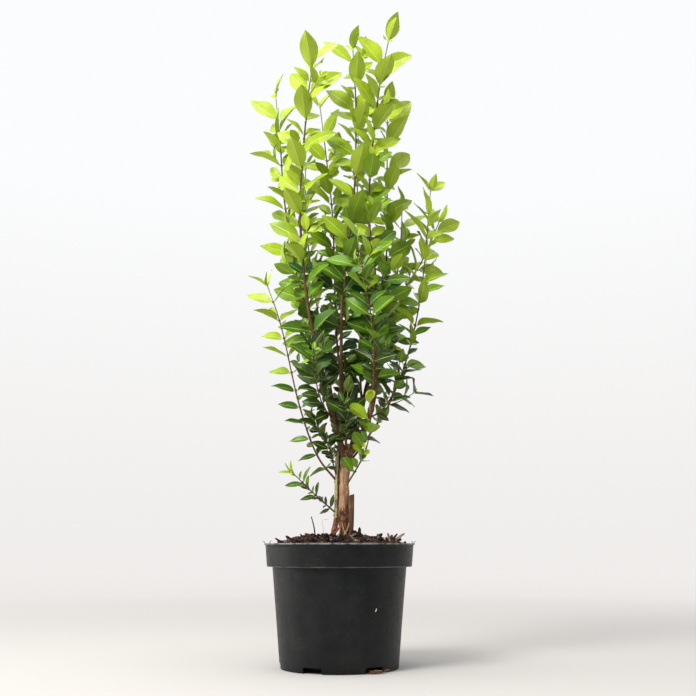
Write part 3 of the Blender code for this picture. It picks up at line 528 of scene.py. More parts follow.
@dataclass
class Draft:
    """A mesh in the making, with a material number a face and a mark a point."""

    points: list[Vector] = field(default_factory=list)
    faces: list[Face] = field(default_factory=list)
    slots: list[int] = field(default_factory=list)
    marks: list[Mark] = field(default_factory=list)

    def add(self, body: Body, slot: int | list[int] = 0, marks: Sequence[Mark] | None = None) -> None:
        """Adds a body.

        Args:
            body: Its points and faces.
            slot: The material number of all its faces, or one for each.
            marks: A mark for each point; the point itself where left out.
        """
        points, faces = body
        first = len(self.points)
        self.points.extend(points)
        self.faces.extend(tuple(first + index for index in face) for face in faces)
        self.slots.extend(slot if isinstance(slot, list) else [slot] * len(faces))
        self.marks.extend(marks if marks else [tuple(point) for point in points])

    def add_tube(self, route: Route, radii: Sequence[float], sides: int, slot: int | list[int] = 0,
                 shape: Callable[[int, float], float] | None = None) -> None:
        """Adds a tube with its marks; the arguments are those of add and tube."""
        self.add(tube(route, radii, sides, shape), slot, tube_marks(route, radii, sides))

    def to_object(self, name: str, materials: Sequence[Material], mark_name: str = "grain",
                  sharp: float = 50.0) -> bpy.types.Object:
        """Makes the object.

        Args:
            name: The piece's name.
            materials: Its materials, in the order of the material numbers.
            mark_name: The name that the shaders read the marks by.
            sharp: Edges that turn by more degrees than this stay sharp.

        Returns:
            The linked object.
        """
        mesh = bpy.data.meshes.new(name)
        mesh.from_pydata([tuple(point) for point in self.points], [], self.faces)
        for material in materials:
            mesh.materials.append(material)
        mesh.polygons.foreach_set("material_index", self.slots)
        marks = mesh.attributes.new(mark_name, "FLOAT_VECTOR", "POINT")
        marks.data.foreach_set("vector", [value for mark in self.marks for value in mark])
        shape = bmesh.new()
        shape.from_mesh(mesh)
        bmesh.ops.recalc_face_normals(shape, faces=shape.faces)
        shape.to_mesh(mesh)
        shape.free()
        mesh.shade_smooth()
        mesh.set_sharp_from_angle(angle=math.radians(sharp))
        return link(name, mesh)


def attach(obj: bpy.types.Object, slot: str, *nodes: str) -> None:
    """Makes a piece ride on the plant and stand for its nodes.

    Args:
        obj: The piece.
        slot: Not used.
        nodes: The nodes that it stands for.
    """
    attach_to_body(obj, "root")
    if nodes:
        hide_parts(*nodes)
    LOG.info("%s: %d faces", obj.name, len(obj.data.polygons))


def smooth_route(points: Sequence, count: int) -> tuple[Route, float]:
    """Evenly spaced points on a smooth curve through the given ones.

    Args:
        points: The points that the curve passes.
        count: How many points to give back.

    Returns:
        The points and the curve's length.
    """
    marks = [Vector(point) for point in points]
    padded = [marks[0] * 2 - marks[1]] + marks + [marks[-1] * 2 - marks[-2]]
    fine = []
    for index in range(1, len(padded) - 2):
        before, start, end, after = padded[index - 1:index + 3]
        for step in range(ROUTE_STEPS):
            t = step / ROUTE_STEPS
            fine.append(0.5 * (2 * start + (end - before) * t
                               + (2 * before - 5 * start + 4 * end - after) * t * t
                               + (3 * start - before - 3 * end + after) * t ** 3))
    fine.append(marks[-1])
    lengths = [0.0]
    for here, there in zip(fine, fine[1:]):
        lengths.append(lengths[-1] + (there - here).length)
    route = []
    place = 0
    for number in range(count):
        goal = lengths[-1] * number / (count - 1)
        while place < len(fine) - 2 and lengths[place + 1] < goal:
            place += 1
        span = lengths[place + 1] - lengths[place]
        share = (goal - lengths[place]) / span if span else 0.0
        route.append(fine[place].lerp(fine[place + 1], min(share, 1.0)))
    return route, lengths[-1]


def point_on(route: Sequence[Vector], share: float) -> Spot:
    """Finds a spot on a route.

    Args:
        route: The route's points.
        share: How far along it, from 0 to 1.

    Returns:
        The point, and the direction that the route takes there.
    """
    spot = clamped(share) * (len(route) - 1)
    index = min(int(spot), len(route) - 2)
    heading = (route[index + 1] - route[index]).normalized()
    return route[index].lerp(route[index + 1], spot - index), heading


def tube_faces(rings: int, sides: int) -> list[Face]:
    """Side faces between rings of points, and one face across each end.

    Args:
        rings: How many rings there are.
        sides: How many points each has.

    Returns:
        The faces, those of the ends first and last.
    """
    faces = [tuple(reversed(range(sides)))]
    for low in range(0, (rings - 1) * sides, sides):
        for side in range(sides):
            following = (side + 1) % sides
            faces.append((low + side, low + following, low + sides + following, low + sides + side))
    top = (rings - 1) * sides
    faces.append(tuple(range(top, top + sides)))
    return faces


def tube(route: Sequence[Vector], radii: Sequence[float], sides: int,
         shape: Callable[[int, float], float] | None = None) -> Body:
    """A closed tube round a route.

    Args:
        route: The points of its middle line.
        radii: Its radius at each of them.
        sides: How many sides it has.
        shape: Extra radius for a ring's number and an angle round it.

    Returns:
        Its points and faces.
    """
    points = []
    start = (route[1] - route[0]).normalized()
    level = start.cross(UP)
    if level.length < 1e-4:
        level = Vector((1.0, 0.0, 0.0))
    level.normalize()
    across = level
    for index, centre in enumerate(route):
        before = route[max(index - 1, 0)]
        after = route[min(index + 1, len(route) - 1)]
        heading = (after - before).normalized()
        across = (across - heading * across.dot(heading)).normalized()
        beside = heading.cross(across)
        for side in range(sides):
            angle = side * math.tau / sides
            radius = radii[index] + (shape(index, angle) if shape else 0.0)
            points.append(centre + (across * math.cos(angle) + beside * math.sin(angle)) * radius)
    return points, tube_faces(len(route), sides)


def tube_marks(route: Sequence[Vector], radii: Sequence[float], sides: int) -> list[Mark]:
    """Marks for a tube's points: two round it and one along it, all in metres.

    Args:
        route: The points of its middle line.
        radii: Its radius at each of them.
        sides: How many sides it has.

    Returns:
        A mark for each point.
    """
    marks = []
    along = 0.0
    for index, radius in enumerate(radii):
        along += (route[index] - route[index - 1]).length if index else 0.0
        height = along + route[0].z
        marks += [tuple(polar(radius, side * math.tau / sides, height)) for side in range(sides)]
    return marks


# Growth: the rule of the solids, with their tables

@dataclass(frozen=True)
class Limb:
    """A bare woody limb: its route and its radii."""

    name: str
    route: tuple
    radii: Ends
    rings: int
    bark: BarkFinish = BOUGH_BARK

    SIDES = 10

    def solid(self, extra: float) -> Body:
        """The limb as it stands in the solids.

        Args:
            extra: How far all its sides are moved out.

        Returns:
            Its points and faces.
        """
        route, _ = smooth_route(self.route, self.rings)
        route[0] += (route[0] - route[1]).normalized() * extra
        route[-1] += (route[-1] - route[-2]).normalized() * extra
        return tube(route, tapered(self.radii, self.rings, extra), self.SIDES)


TRUNK_FOOT_LEVEL = 0.1777 + GAP
LIMBS = (
    Limb("second_stem", ((-0.012, -0.005, TRUNK_FOOT_LEVEL), (-0.0088, -0.002, 0.189),
         (-0.0052, 0.002, 0.206), (-0.0042, 0.004, 0.228), (-0.0036, 0.004, 0.268), (-0.0018, 0.0045, 0.3),
         (0.0005, 0.0045, 0.3262)), (0.0041, 0.0034), 13, STEM_BARK),
    Limb("pruned_stub", ((0.015, -0.006, TRUNK_FOOT_LEVEL), (0.0172, -0.008, 0.212),
         (0.0178, -0.0086, 0.244)), (0.0044, 0.0038), 5, BROWN_BARK),
    Limb("left_bough", ((0.0085, -0.003, 0.294), (-0.007, -0.013, 0.346), (-0.025, -0.02, 0.41)),
         (0.0046, 0.0038), 7),
    Limb("centre_bough", ((0.0002, 0.0045, 0.322), (0.0028, 0.001, 0.368), (0.002, -0.0115, 0.416)),
         (0.0036, 0.0033), 6),
    Limb("right_bough", ((0.011, -0.002, 0.298), (0.0315, -0.011, 0.328), (0.0455, -0.018, 0.365),
         (0.0535, -0.023, 0.404)), (0.0048, 0.0041), 8),
    Limb("back_left_bough", ((0.0085, 0.002, 0.284), (0.0045, 0.015, 0.312), (-0.008, 0.03, 0.362),
         (-0.018, 0.0432, 0.407)), (0.004, 0.0033), 8),
    Limb("back_right_bough", ((0.0125, 0.002, 0.3), (0.0215, 0.015, 0.33), (0.032, 0.033, 0.37),
         (0.042, 0.05, 0.415)), (0.0042, 0.0033), 8),
)


@dataclass(frozen=True)
class Trunk:
    """The trunk's axis and girth, its root flare and the sides of its solid."""

    axis: tuple = ((0.0096, 0.0, TRUNK_FOOT_LEVEL), (0.0066, 0.0, 0.215), (0.0072, 0.0, 0.262),
                   (0.01, 0.0, 0.3), (0.0118, -0.001, 0.32))
    girth: tuple = ((0.178, 0.0082), (0.195, 0.0077), (0.214, 0.0092), (0.23, 0.0077), (0.26, 0.0067),
                    (0.285, 0.0071), (0.303, 0.0078), (0.314, 0.007), (0.32, 0.0036))
    sides: int = 14
    rings: int = 13
    flare: float = 0.0036
    flare_base: float = 0.35
    flare_fall: float = 0.013
    lobes: int = 3
    lobe_bearing: float = math.radians(250.0)

    def radius(self, height: float) -> float:
        """The radius without the root flare.

        Args:
            height: The height.

        Returns:
            The radius there.
        """
        for (low, low_radius), (high, high_radius) in zip(self.girth, self.girth[1:]):
            if height <= high:
                return between((low_radius, high_radius), (height - low) / (high - low))
        return self.girth[-1][1]

    def flared(self, height: float, angle: float) -> float:
        """The radius with the root flare.

        Args:
            height: The height.
            angle: The angle round the trunk.

        Returns:
            The radius there.
        """
        rise = max(height - TRUNK_FOOT_LEVEL, 0.0)
        lobe = 0.5 + 0.5 * math.cos(self.lobes * (angle - self.lobe_bearing))
        spread = self.flare_base + (1.0 - self.flare_base) * lobe
        return self.radius(height) + self.flare * math.exp(-rise / self.flare_fall) * spread

    def solid(self, extra: float) -> Body:
        """The trunk as it stands in the solids.

        Args:
            extra: How far all its sides are moved out.

        Returns:
            Its points and faces.
        """
        route, _ = smooth_route(self.axis, self.rings)
        route[0].z -= extra
        route[-1].z += extra
        points = []
        for centre in route:
            for side in range(self.sides):
                angle = side * math.tau / self.sides
                points.append(centre + polar(1.0, angle) * (self.flared(centre.z, angle) + extra))
        return points, tube_faces(self.rings, self.sides)


@dataclass(frozen=True)
class Shoot:
    """A leafy shoot. A pair of numbers gives a size at the low end and at the top.

    Angles are in degrees. A bearing goes round the stem: 0 is to the right, 90 to the back.
    """

    name: str
    route: tuple
    seed: int
    bearing: float
    first_pair: float
    stem_radius: Ends = (0.0021, 0.0010)
    leaf_length: Ends = (0.047, 0.061)
    leaf_breadth: float = 0.52
    pair_gap: Ends = (0.033, 0.043)
    pair_turn: float = 90.0
    spread: Ends = (66.0, 44.0)
    twig_pairs: tuple[int, int] = (2, 4)
    top_leaf: float = 0.030
    front_bare_to: float = 0.0
    right_bare_to: float = 0.0
    pull: float = 2.4
    between_chance: float = 0.9
    tip_power: float = 0.98
    light: float = 0.0
    tip_light: float = -0.9
    fine_rounds: int = 1
    foot_swell: float = 0.0004

    STEM_STEP = 0.040
    STEM_SIDES = 3

    def stem_route(self) -> tuple[Route, float]:
        """The stem's evenly spaced points, and its length."""
        _, length = smooth_route(self.route, 2)
        return smooth_route(self.route, max(4, round(length / self.STEM_STEP) + 1))

    def stem_solid(self) -> Body:
        """The stem as it stands in the solids."""
        route, _ = self.stem_route()
        return tube(route, tapered(self.stem_radius, len(route)), self.STEM_SIDES)

    def share(self, height: float) -> float:
        """How far up the shoot a height is, from its foot to its tip."""
        foot, top = self.route[0][2], self.route[-1][2]
        return (height - foot) / (top - foot)


THIN_TWIG = {"stem_radius": (0.0014, 0.0008), "twig_pairs": (0, 0)}
# Each row starts with the name, the route, the seed, the bearing and where the first pair sits
SHOOTS = (
    Shoot("right_shoot", ((0.053, -0.0228, 0.402), (0.0563, -0.024, 0.535), (0.0446, -0.02, 0.688),
          (0.0603, -0.012, 0.871), (0.079, -0.01, 0.978)), 11, 15.0, 0.014, stem_radius=(0.0034, 0.0011),
          top_leaf=0.054, front_bare_to=0.43, foot_swell=0.0013),
    Shoot("centre_shoot", ((0.002, -0.011, 0.414), (0.0045, -0.033, 0.548), (0.0215, -0.022, 0.7),
          (0.025, -0.01, 0.85), (0.0202, 0.0, 0.968)), 12, 15.0, 0.014, stem_radius=(0.003, 0.0011),
          front_bare_to=0.54, foot_swell=0.0009),
    Shoot("left_shoot", ((-0.0245, -0.0198, 0.408), (-0.05, -0.03, 0.54), (-0.061, -0.034, 0.68),
          (-0.052, -0.038, 0.84), (-0.0419, -0.04, 0.93)), 13, 160.0, 0.012, stem_radius=(0.0034, 0.0011),
          front_bare_to=0.53, light=-0.4, foot_swell=0.0011),
    Shoot("left_outer_shoot", ((-0.004, 0.0035, 0.264), (-0.0344, -0.005, 0.304), (-0.0614, -0.01, 0.38),
          (-0.0883, -0.02, 0.494), (-0.111, -0.025, 0.56)), 14, 165.0, 0.024, stem_radius=(0.0018, 0.0009),
          leaf_length=(0.028, 0.048), leaf_breadth=0.42, pair_gap=(0.024, 0.03), pair_turn=50.0,
          spread=(74.0, 52.0), twig_pairs=(0, 0), pull=0.9, light=-2.6, tip_power=1.25, fine_rounds=0,
          between_chance=0.3),
    Shoot("right_outer_shoot", ((0.01, 0.0, 0.288), (0.025, 0.0035, 0.306), (0.0485, 0.013, 0.34),
          (0.0764, 0.015, 0.385), (0.1062, 0.02, 0.4638), (0.1283, 0.02, 0.569), (0.1449, 0.02, 0.7317)),
          15, 30.0, 0.050, stem_radius=(0.0019, 0.0009), leaf_length=(0.04, 0.057), leaf_breadth=0.46,
          pair_gap=(0.032, 0.036), pair_turn=60.0, spread=(66.0, 42.0), twig_pairs=(2, 3), top_leaf=0.036,
          pull=0.9, light=-0.8, tip_power=1.25, fine_rounds=0, between_chance=0.3),
    Shoot("left_back_shoot", ((-0.0175, 0.042, 0.404), (-0.056, 0.044, 0.54), (-0.088, 0.036, 0.7),
          (-0.099, 0.04, 0.82), (-0.108, 0.045, 0.905)), 16, 10.0, 0.020, stem_radius=(0.0026, 0.001),
          light=-0.6, foot_swell=0.001),
    Shoot("middle_back_shoot", ((0.0026, -0.0085, 0.406), (-0.006, 0.008, 0.5), (-0.012, 0.03, 0.68),
          (-0.024, 0.042, 0.8), (-0.0347, 0.05, 0.89)), 17, 30.0, 0.024),
    Shoot("right_inner_shoot", ((0.0505, -0.021, 0.392), (0.067, 0.008, 0.49), (0.0745, 0.033, 0.66),
          (0.0765, 0.04, 0.8), (0.0785, 0.045, 0.89)), 18, 10.0, 0.022),
    Shoot("right_slant_shoot", ((0.0415, 0.0492, 0.413), (0.056, 0.05, 0.455), (0.08, 0.056, 0.535),
          (0.13, 0.06, 0.618), (0.162, 0.06, 0.69)), 19, 35.0, 0.022, leaf_length=(0.042, 0.056),
          leaf_breadth=0.46, pair_gap=(0.031, 0.038), pair_turn=70.0, twig_pairs=(2, 3), light=-0.6,
          foot_swell=0.0015),
    Shoot("back_left_shoot", ((-0.012, 0.0375, 0.383), (-0.015, 0.06, 0.415), (-0.036, 0.086, 0.54),
          (-0.056, 0.102, 0.68), (-0.06, 0.105, 0.8)), 20, 40.0, 0.022),
    Shoot("back_middle_shoot", ((0.034, 0.037, 0.383), (0.032, 0.056, 0.43), (0.032, 0.082, 0.54),
          (0.028, 0.096, 0.72), (0.03, 0.1, 0.86)), 21, 110.0, 0.024),
    Shoot("back_right_shoot", ((0.0372, 0.0418, 0.394), (0.044, 0.066, 0.43), (0.078, 0.096, 0.53),
          (0.098, 0.108, 0.64), (0.104, 0.106, 0.73)), 22, 0.0, 0.022, leaf_length=(0.042, 0.058)),
    Shoot("front_shoot", ((0.0495, -0.0204, 0.388), (0.05, -0.06, 0.47), (0.035, -0.076, 0.56),
          (0.026, -0.078, 0.62)), 23, 60.0, 0.022, stem_radius=(0.0019, 0.0009), leaf_length=(0.042, 0.056),
          pair_gap=(0.032, 0.038), twig_pairs=(0, 0)),
    Shoot("low_left_twig", ((-0.0034, 0.0035, 0.216), (-0.0392, -0.015, 0.2468), (-0.07, -0.024, 0.2762)),
          24, 0.0, 0.014, stem_radius=(0.0012, 0.0008), leaf_length=(0.018, 0.026), leaf_breadth=0.34,
          pair_gap=(0.013, 0.016), spread=(60.0, 46.0), twig_pairs=(0, 0), top_leaf=0.018, light=1.0,
          tip_light=-7.0, fine_rounds=0),
    Shoot("left_twig", ((-0.0036, 0.004, 0.27), (-0.0092, -0.0036, 0.288), (-0.014, -0.007, 0.31),
          (-0.025, -0.0096, 0.334), (-0.04, -0.012, 0.356)), 25, 20.0, 0.013, stem_radius=(0.0013, 0.0008),
          leaf_length=(0.018, 0.034), pair_gap=(0.014, 0.02), twig_pairs=(0, 0), light=-0.2, fine_rounds=2),
    Shoot("right_twig", ((0.009, -0.003, 0.256), (0.0355, -0.02, 0.3012), (0.045, -0.033, 0.34),
          (0.044, -0.04, 0.376)), 26, 0.0, 0.024, leaf_length=(0.024, 0.034), leaf_breadth=0.62,
          pair_gap=(0.018, 0.024), top_leaf=0.02, right_bare_to=0.4, light=-5.0, tip_power=0.62,
          **THIN_TWIG),
    Shoot("inner_front_twig", ((0.011, -0.003, 0.305), (0.01, -0.024, 0.33), (0.012, -0.04, 0.39)), 27,
          15.0, 0.024, leaf_length=(0.03, 0.04), leaf_breadth=0.54, pair_gap=(0.019, 0.023), fine_rounds=2,
          **THIN_TWIG),
    Shoot("inner_left_twig", ((-0.0085, -0.0134, 0.353), (-0.025, -0.034, 0.374), (-0.036, -0.048, 0.414),
          (-0.04, -0.054, 0.456)), 29, 40.0, 0.014, leaf_length=(0.03, 0.04), leaf_breadth=0.54,
          pair_gap=(0.02, 0.024), fine_rounds=2, **THIN_TWIG),
    Shoot("inner_right_twig", ((0.0428, -0.0165, 0.356), (0.062, -0.014, 0.368), (0.08, -0.016, 0.395),
          (0.09, -0.016, 0.44)), 30, 60.0, 0.014, leaf_length=(0.03, 0.044), leaf_breadth=0.48,
          pair_gap=(0.02, 0.026), **THIN_TWIG),
    Shoot("inner_back_twig", ((0.0095, 0.003, 0.31), (0.008, 0.02, 0.338), (0.0095, 0.044, 0.364),
          (0.008, 0.064, 0.42)), 28, 45.0, 0.022, leaf_length=(0.032, 0.044), leaf_breadth=0.54,
          pair_gap=(0.02, 0.024), fine_rounds=2, **THIN_TWIG),
)

# Side twigs, and the young leaves at the top of a shoot, as in the solids
BLADE_START = 0.13
TWIG_LENGTH = (0.032, 0.050)
TWIG_RADIUS = (0.0010, 0.0008)
TWIG_LEAN = math.radians(46.0)
TWIG_RISE = 0.25
TWIG_STEPS = 3
TWIG_PAIR_PLACES = (0.55, 0.97)
TWIG_LEAF_SHARE = 0.76
TWIG_LEAF_SPREAD = 50.0
FRONT = 270.0
TOP_GAP_SHARE = 0.55
TOP_PAIR_SHARE = 0.74
TOP_PAIR_SPREAD = 36.0
TOP_LEAF_SPREAD = 9.0
TOP_PLACE = 0.985
FULL_LEAF_SHARE = 0.7
LEAF_ARCH = (0.06, 0.26)
LEAF_ROLL = (-20.0, 20.0)
LEAF_LENGTH_RANGE = (0.90, 1.10)
PAIR_GAP_RANGE = (0.92, 1.08)
PAIR_JITTER = (-12.0, 12.0)
BEARING_JITTER = (-9.0, 9.0)
SPREAD_JITTER = (-8.0, 8.0)
TWIG_JITTER = (-25.0, 25.0)
TOP_JITTER = (-30.0, 30.0)
LIGHT_PULL = 5.6
FRONT_FACING = 0.45
RIGHT_FACING = 0.30
CROWN_AXIS = Vector((0.015, 0.140, 0.0))
LEAF_TRIES = ((0.0, 0.0, 1.0), (24.0, 0.0, 1.0), (-24.0, 0.0, 1.0), (0.0, 14.0, 0.86),
              (0.0, -14.0, 0.86), (38.0, -8.0, 0.78), (-38.0, 8.0, 0.78))

# Finer twigs, which only the dressed plant has
FINE_SEED = 1000
REFILL_SHARE = (0.55, 0.75)
BETWEEN_PLACE = (0.42, 0.58)
BETWEEN_JITTER = (-14.0, 14.0)
BETWEEN_SPREAD = (42.0, 62.0)
BETWEEN_SHARE = (0.52, 0.84)
FINE_TWIG_LENGTH = (0.012, 0.030)
FINE_TWIG_RADIUS = (0.0007, 0.0005)
FINE_TWIG_JITTER = (-18.0, 18.0)
FINE_PAIR_PLACES = (0.60, 0.98)
FINE_LEAF_SHARE = (0.34, 0.62)
FINE_LEAF_RANGE = (0.88, 1.10)
FINE_SPREAD = (34.0, 56.0)
FINE_ARCH = (0.04, 0.20)
FINE_CHANCE = (0.95, 0.85)
FINE_TRIES = ((0.0, 0.0, 1.0), (30.0, 8.0, 0.9), (-30.0, -8.0, 0.9), (55.0, 0.0, 0.75),
              (-55.0, 0.0, 0.75), (0.0, -20.0, 0.65))
FINE_TURN = 70.0
FINE_THINS_FROM = 0.45
FINE_THINS_OVER = 0.45
OUTER_PAIR_SHARE = 0.8
CROSSWISE_FROM = 80.0
BUD_LEAF = (0.006, 0.010)
BUD_SPREAD = 16.0
BUD_ARCH = 0.05
BUD_BREADTH = 0.36


@dataclass(frozen=True)
class Leaf:
    """A leaf: its root, its three directions, its sizes and the number of its spray."""

    root: Vector
    along: Vector
    side: Vector
    upper: Vector
    length: float
    half_width: float
    arch: float
    spray: int = 0

    OUTLINE_LONG = ((0.33, 0.92), (0.66, 0.86))
    OUTLINE_SHORT = ((0.46, 1.0),)
    LONG = 0.034
    THICKNESS_SHARE = 1.0 / 55.0
    ROOT_DEPTH = 0.0011

    def rim(self, start: float, margin: float = 0.0) -> list[Ends]:
        """The rim from the root round the tip.

        Args:
            start: Where it starts, as a share of the length.
            margin: How far it stands outside the blade.

        Returns:
            Share of the length and half width of each corner.
        """
        outline = self.OUTLINE_LONG if self.length >= self.LONG else self.OUTLINE_SHORT
        left = [(share, self.half_width * width + margin) for share, width in outline]
        right = [(share, -half) for share, half in reversed(left)]
        return [(start, 0.0)] + left + [(1.0 + margin / self.length, 0.0)] + right

    def point(self, share: float, sideways: float = 0.0, lift: float = 0.0) -> Vector:
        """A point: how far along the leaf, to the side of its midrib, and above its blade."""
        rise = lift - self.arch * share * share * self.length
        return self.root + self.along * (self.length * share) + self.side * sideways + self.upper * rise

    def body(self, start: float = 0.0) -> Body:
        """The leaf as it stands in the solids: a thin keeled blade.

        Args:
            start: Where it starts, as a share of its length.

        Returns:
            Its points and faces.
        """
        rim = self.rim(start)
        points = [self.point(share, half) for share, half in rim]
        points[0] += self.upper * (self.ROOT_DEPTH / 2)
        pairs = (len(rim) - 2) // 2
        left = list(range(1, pairs + 1))
        tip = pairs + 1
        right = list(range(len(rim) - 1, tip, -1))
        low_root = len(points)
        points.append(points[0] - self.upper * self.ROOT_DEPTH)
        keel = low_root + 1
        middle = sum((points[index] for index in left + right), Vector()) / (2 * pairs)
        points.append(middle - self.upper * (self.length * self.THICKNESS_SHARE))
        faces = [(0, left[0], right[0]), (left[-1], tip, right[-1]), (0, low_root, left[0]),
                 (low_root, 0, right[0])]
        for low in range(pairs - 1):
            faces.append((left[low], left[low + 1], right[low + 1]))
            faces.append((left[low], right[low + 1], right[low]))
        underside = [low_root] + list(range(1, len(rim)))
        for here, there in zip(underside, underside[1:] + underside[:1]):
            faces.append((there, here, keel))
        return points, faces

    def envelope(self, start: float = 0.0) -> Body:
        """A closed shape that stands a clearance proud of the leaf.

        Args:
            start: Where it starts, as a share of the leaf's length.

        Returns:
            Its points and faces.
        """
        rim = self.rim(start, LEAF_CLEARANCE)
        count = len(rim)
        points = [self.point(share, half, lift) for lift in (LEAF_CLEARANCE, -LEAF_CLEARANCE)
                  for share, half in rim]
        points[0] += self.upper * (self.ROOT_DEPTH / 2)
        points[count] -= self.upper * (self.ROOT_DEPTH / 2)
        points.append(sum(points[count + 1:], Vector()) / (count - 1)
                      - self.upper * (self.length * self.THICKNESS_SHARE))
        faces = [tuple(range(count))]
        for here in range(count):
            there = (here + 1) % count
            faces += [(here, here + count, there + count, there), (here + count, 2 * count, there + count)]
        return points, faces


@dataclass(frozen=True)
class Twig:
    """A side twig: the points it follows and its radius at each end."""

    points: tuple[Vector, ...]
    radii: Ends

    def body(self, margin: float = 0.0, first: int = 0) -> Body:
        """The twig as it stands in the solids, three-sided, from one of its points on."""
        points = self.points[first:]
        return tube(points, tapered(self.radii, len(points), margin), Shoot.STEM_SIDES)


def search_tree(body: Body) -> BVHTree:
    """A search tree of a body, in millimetres because crossings under a tenth of one count."""
    return BVHTree.FromPolygons([point * 1000.0 for point in body[0]], body[1])


def ball_round(points: list[Vector]) -> tuple[Vector, float]:
    """The middle of some points and the distance of the furthest one."""
    centre = sum(points, Vector()) / len(points)
    return centre, max((point - centre).length for point in points)


class Space:
    """What already stands in the crown: limbs, stems, twigs and leaves, each as a search tree."""

    STEM_MARKS = 40

    def __init__(self) -> None:
        """Starts empty."""
        self.pieces: list[tuple] = []
        self.stems: dict[str, Route] = {}

    def add(self, owner: str, body: Body, blade: Body | None = None) -> None:
        """Keeps a body, and for a leaf also its blade without the root.

        Args:
            owner: The limb or shoot that it belongs to.
            body: Its points and faces.
            blade: The blade alone.
        """
        tree = search_tree(body)
        self.pieces.append((owner, *ball_round(body[0]), tree, search_tree(blade) if blade else tree))

    def add_stem(self, shoot: Shoot) -> None:
        """Keeps a shoot's stem, and marks along it.

        Args:
            shoot: The shoot.
        """
        route, _ = shoot.stem_route()
        self.stems[shoot.name] = [point_on(route, step / self.STEM_MARKS)[0]
                                  for step in range(self.STEM_MARKS + 1)]
        self.add(shoot.name, shoot.stem_solid())

    def is_free(self, owner: str, body: Body, blade: Body) -> bool:
        """Tells if a body stands clear of all that is there.

        Args:
            owner: The shoot that it would belong to.
            body: Its points and faces, tested against what others own.
            blade: The part of it that is tested against the owner's own blades.

        Returns:
            True where nothing crosses.
        """
        centre, radius = ball_round(body[0])
        tree = search_tree(body)
        blade_tree = search_tree(blade)
        for other, place, reach, other_tree, other_blade in self.pieces:
            if (centre - place).length > radius + reach:
                continue
            if blade_tree.overlap(other_blade) if other == owner else tree.overlap(other_tree):
                return False
        return True

    def is_own(self, owner: str, point: Vector) -> bool:
        """Tells if a point lies nearer to its own stem than to any other stem.

        Args:
            owner: The shoot that it belongs to.
            point: The point.

        Returns:
            True where it does.
        """
        own = min((point - spot).length for spot in self.stems[owner])
        return not any((point - spot).length < own for other, route in self.stems.items()
                       if other != owner for spot in route)


def round_stem(heading: Vector, bearing: float) -> Vector:
    """The direction that leaves a stem at a bearing.

    Args:
        heading: The stem's direction.
        bearing: Degrees round it: 0 is to the right, 90 to the back.

    Returns:
        A direction at right angles to the stem.
    """
    back = Vector((0.0, 1.0, 0.0)) if abs(heading.y) < 0.9 else UP
    back = (back - heading * back.dot(heading)).normalized()
    angle = math.radians(bearing)
    return back.cross(heading) * math.cos(angle) + back * math.sin(angle)


@dataclass(frozen=True)
class Seat:
    """Where a leaf would sit: a spot on its stem, how it leaves it, its length, bend and roll."""

    spot: Spot
    bearing: float
    spread: float
    length: float
    arch: float
    roll: float
    spray: int

    def leaf(self, shoot: Shoot, turn: float = 0.0, tilt: float = 0.0, share: float = 1.0) -> Leaf:
        """The leaf that sits here, its upper side turned to the stem's tip and to the outside.

        Args:
            shoot: The shoot that bears it.
            turn: Degrees that it is turned round the stem.
            tilt: Degrees that it stands further from the stem.
            share: Its size as a share of the seat's.

        Returns:
            The leaf.
        """
        root, heading = self.spot
        lean = math.radians(self.spread + tilt)
        away = round_stem(heading, self.bearing + turn)
        along = heading * math.cos(lean) + away * math.sin(lean)
        upper = (heading - along * heading.dot(along)).normalized()
        outward = (Vector((root.x, root.y, 0.0)) - CROWN_AXIS).normalized()
        pull = min(LIGHT_PULL * (1.0 - max(0.0, away.dot(outward))), shoot.pull)
        outward = (outward - along * outward.dot(along)).normalized()
        upper = (upper + outward * pull).normalized()
        upper = Matrix.Rotation(math.radians(self.roll), 3, along) @ upper
        length = self.length * share
        return Leaf(root, along, along.cross(upper), upper, length, length * shoot.leaf_breadth / 2,
                    self.arch, self.spray)


@dataclass
class Growth:
    """What one shoot has grown: twigs, leaves, where its pairs sit, and seats left empty."""

    shoot: Shoot
    rng: random.Random
    route: Route
    length: float
    within: tuple[Vector, Vector] | None = None
    twigs: list[Twig] = field(default_factory=list)
    leaves: list[Leaf] = field(default_factory=list)
    fine_twigs: list[Twig] = field(default_factory=list)
    pairs: list[tuple[Spot, float, float]] = field(default_factory=list)
    empty: list[Seat] = field(default_factory=list)
    sprays: int = 0

    def reach(self) -> tuple[Vector, Vector]:
        """The box round all that has grown so far.

        Returns:
            Its lowest and highest corner.
        """
        spots = [point for leaf in self.leaves for point in leaf.body()[0]] + list(self.route)
        return tuple(Vector([pick(spot[axis] for spot in spots) for axis in range(3)])
                     for pick in (min, max))


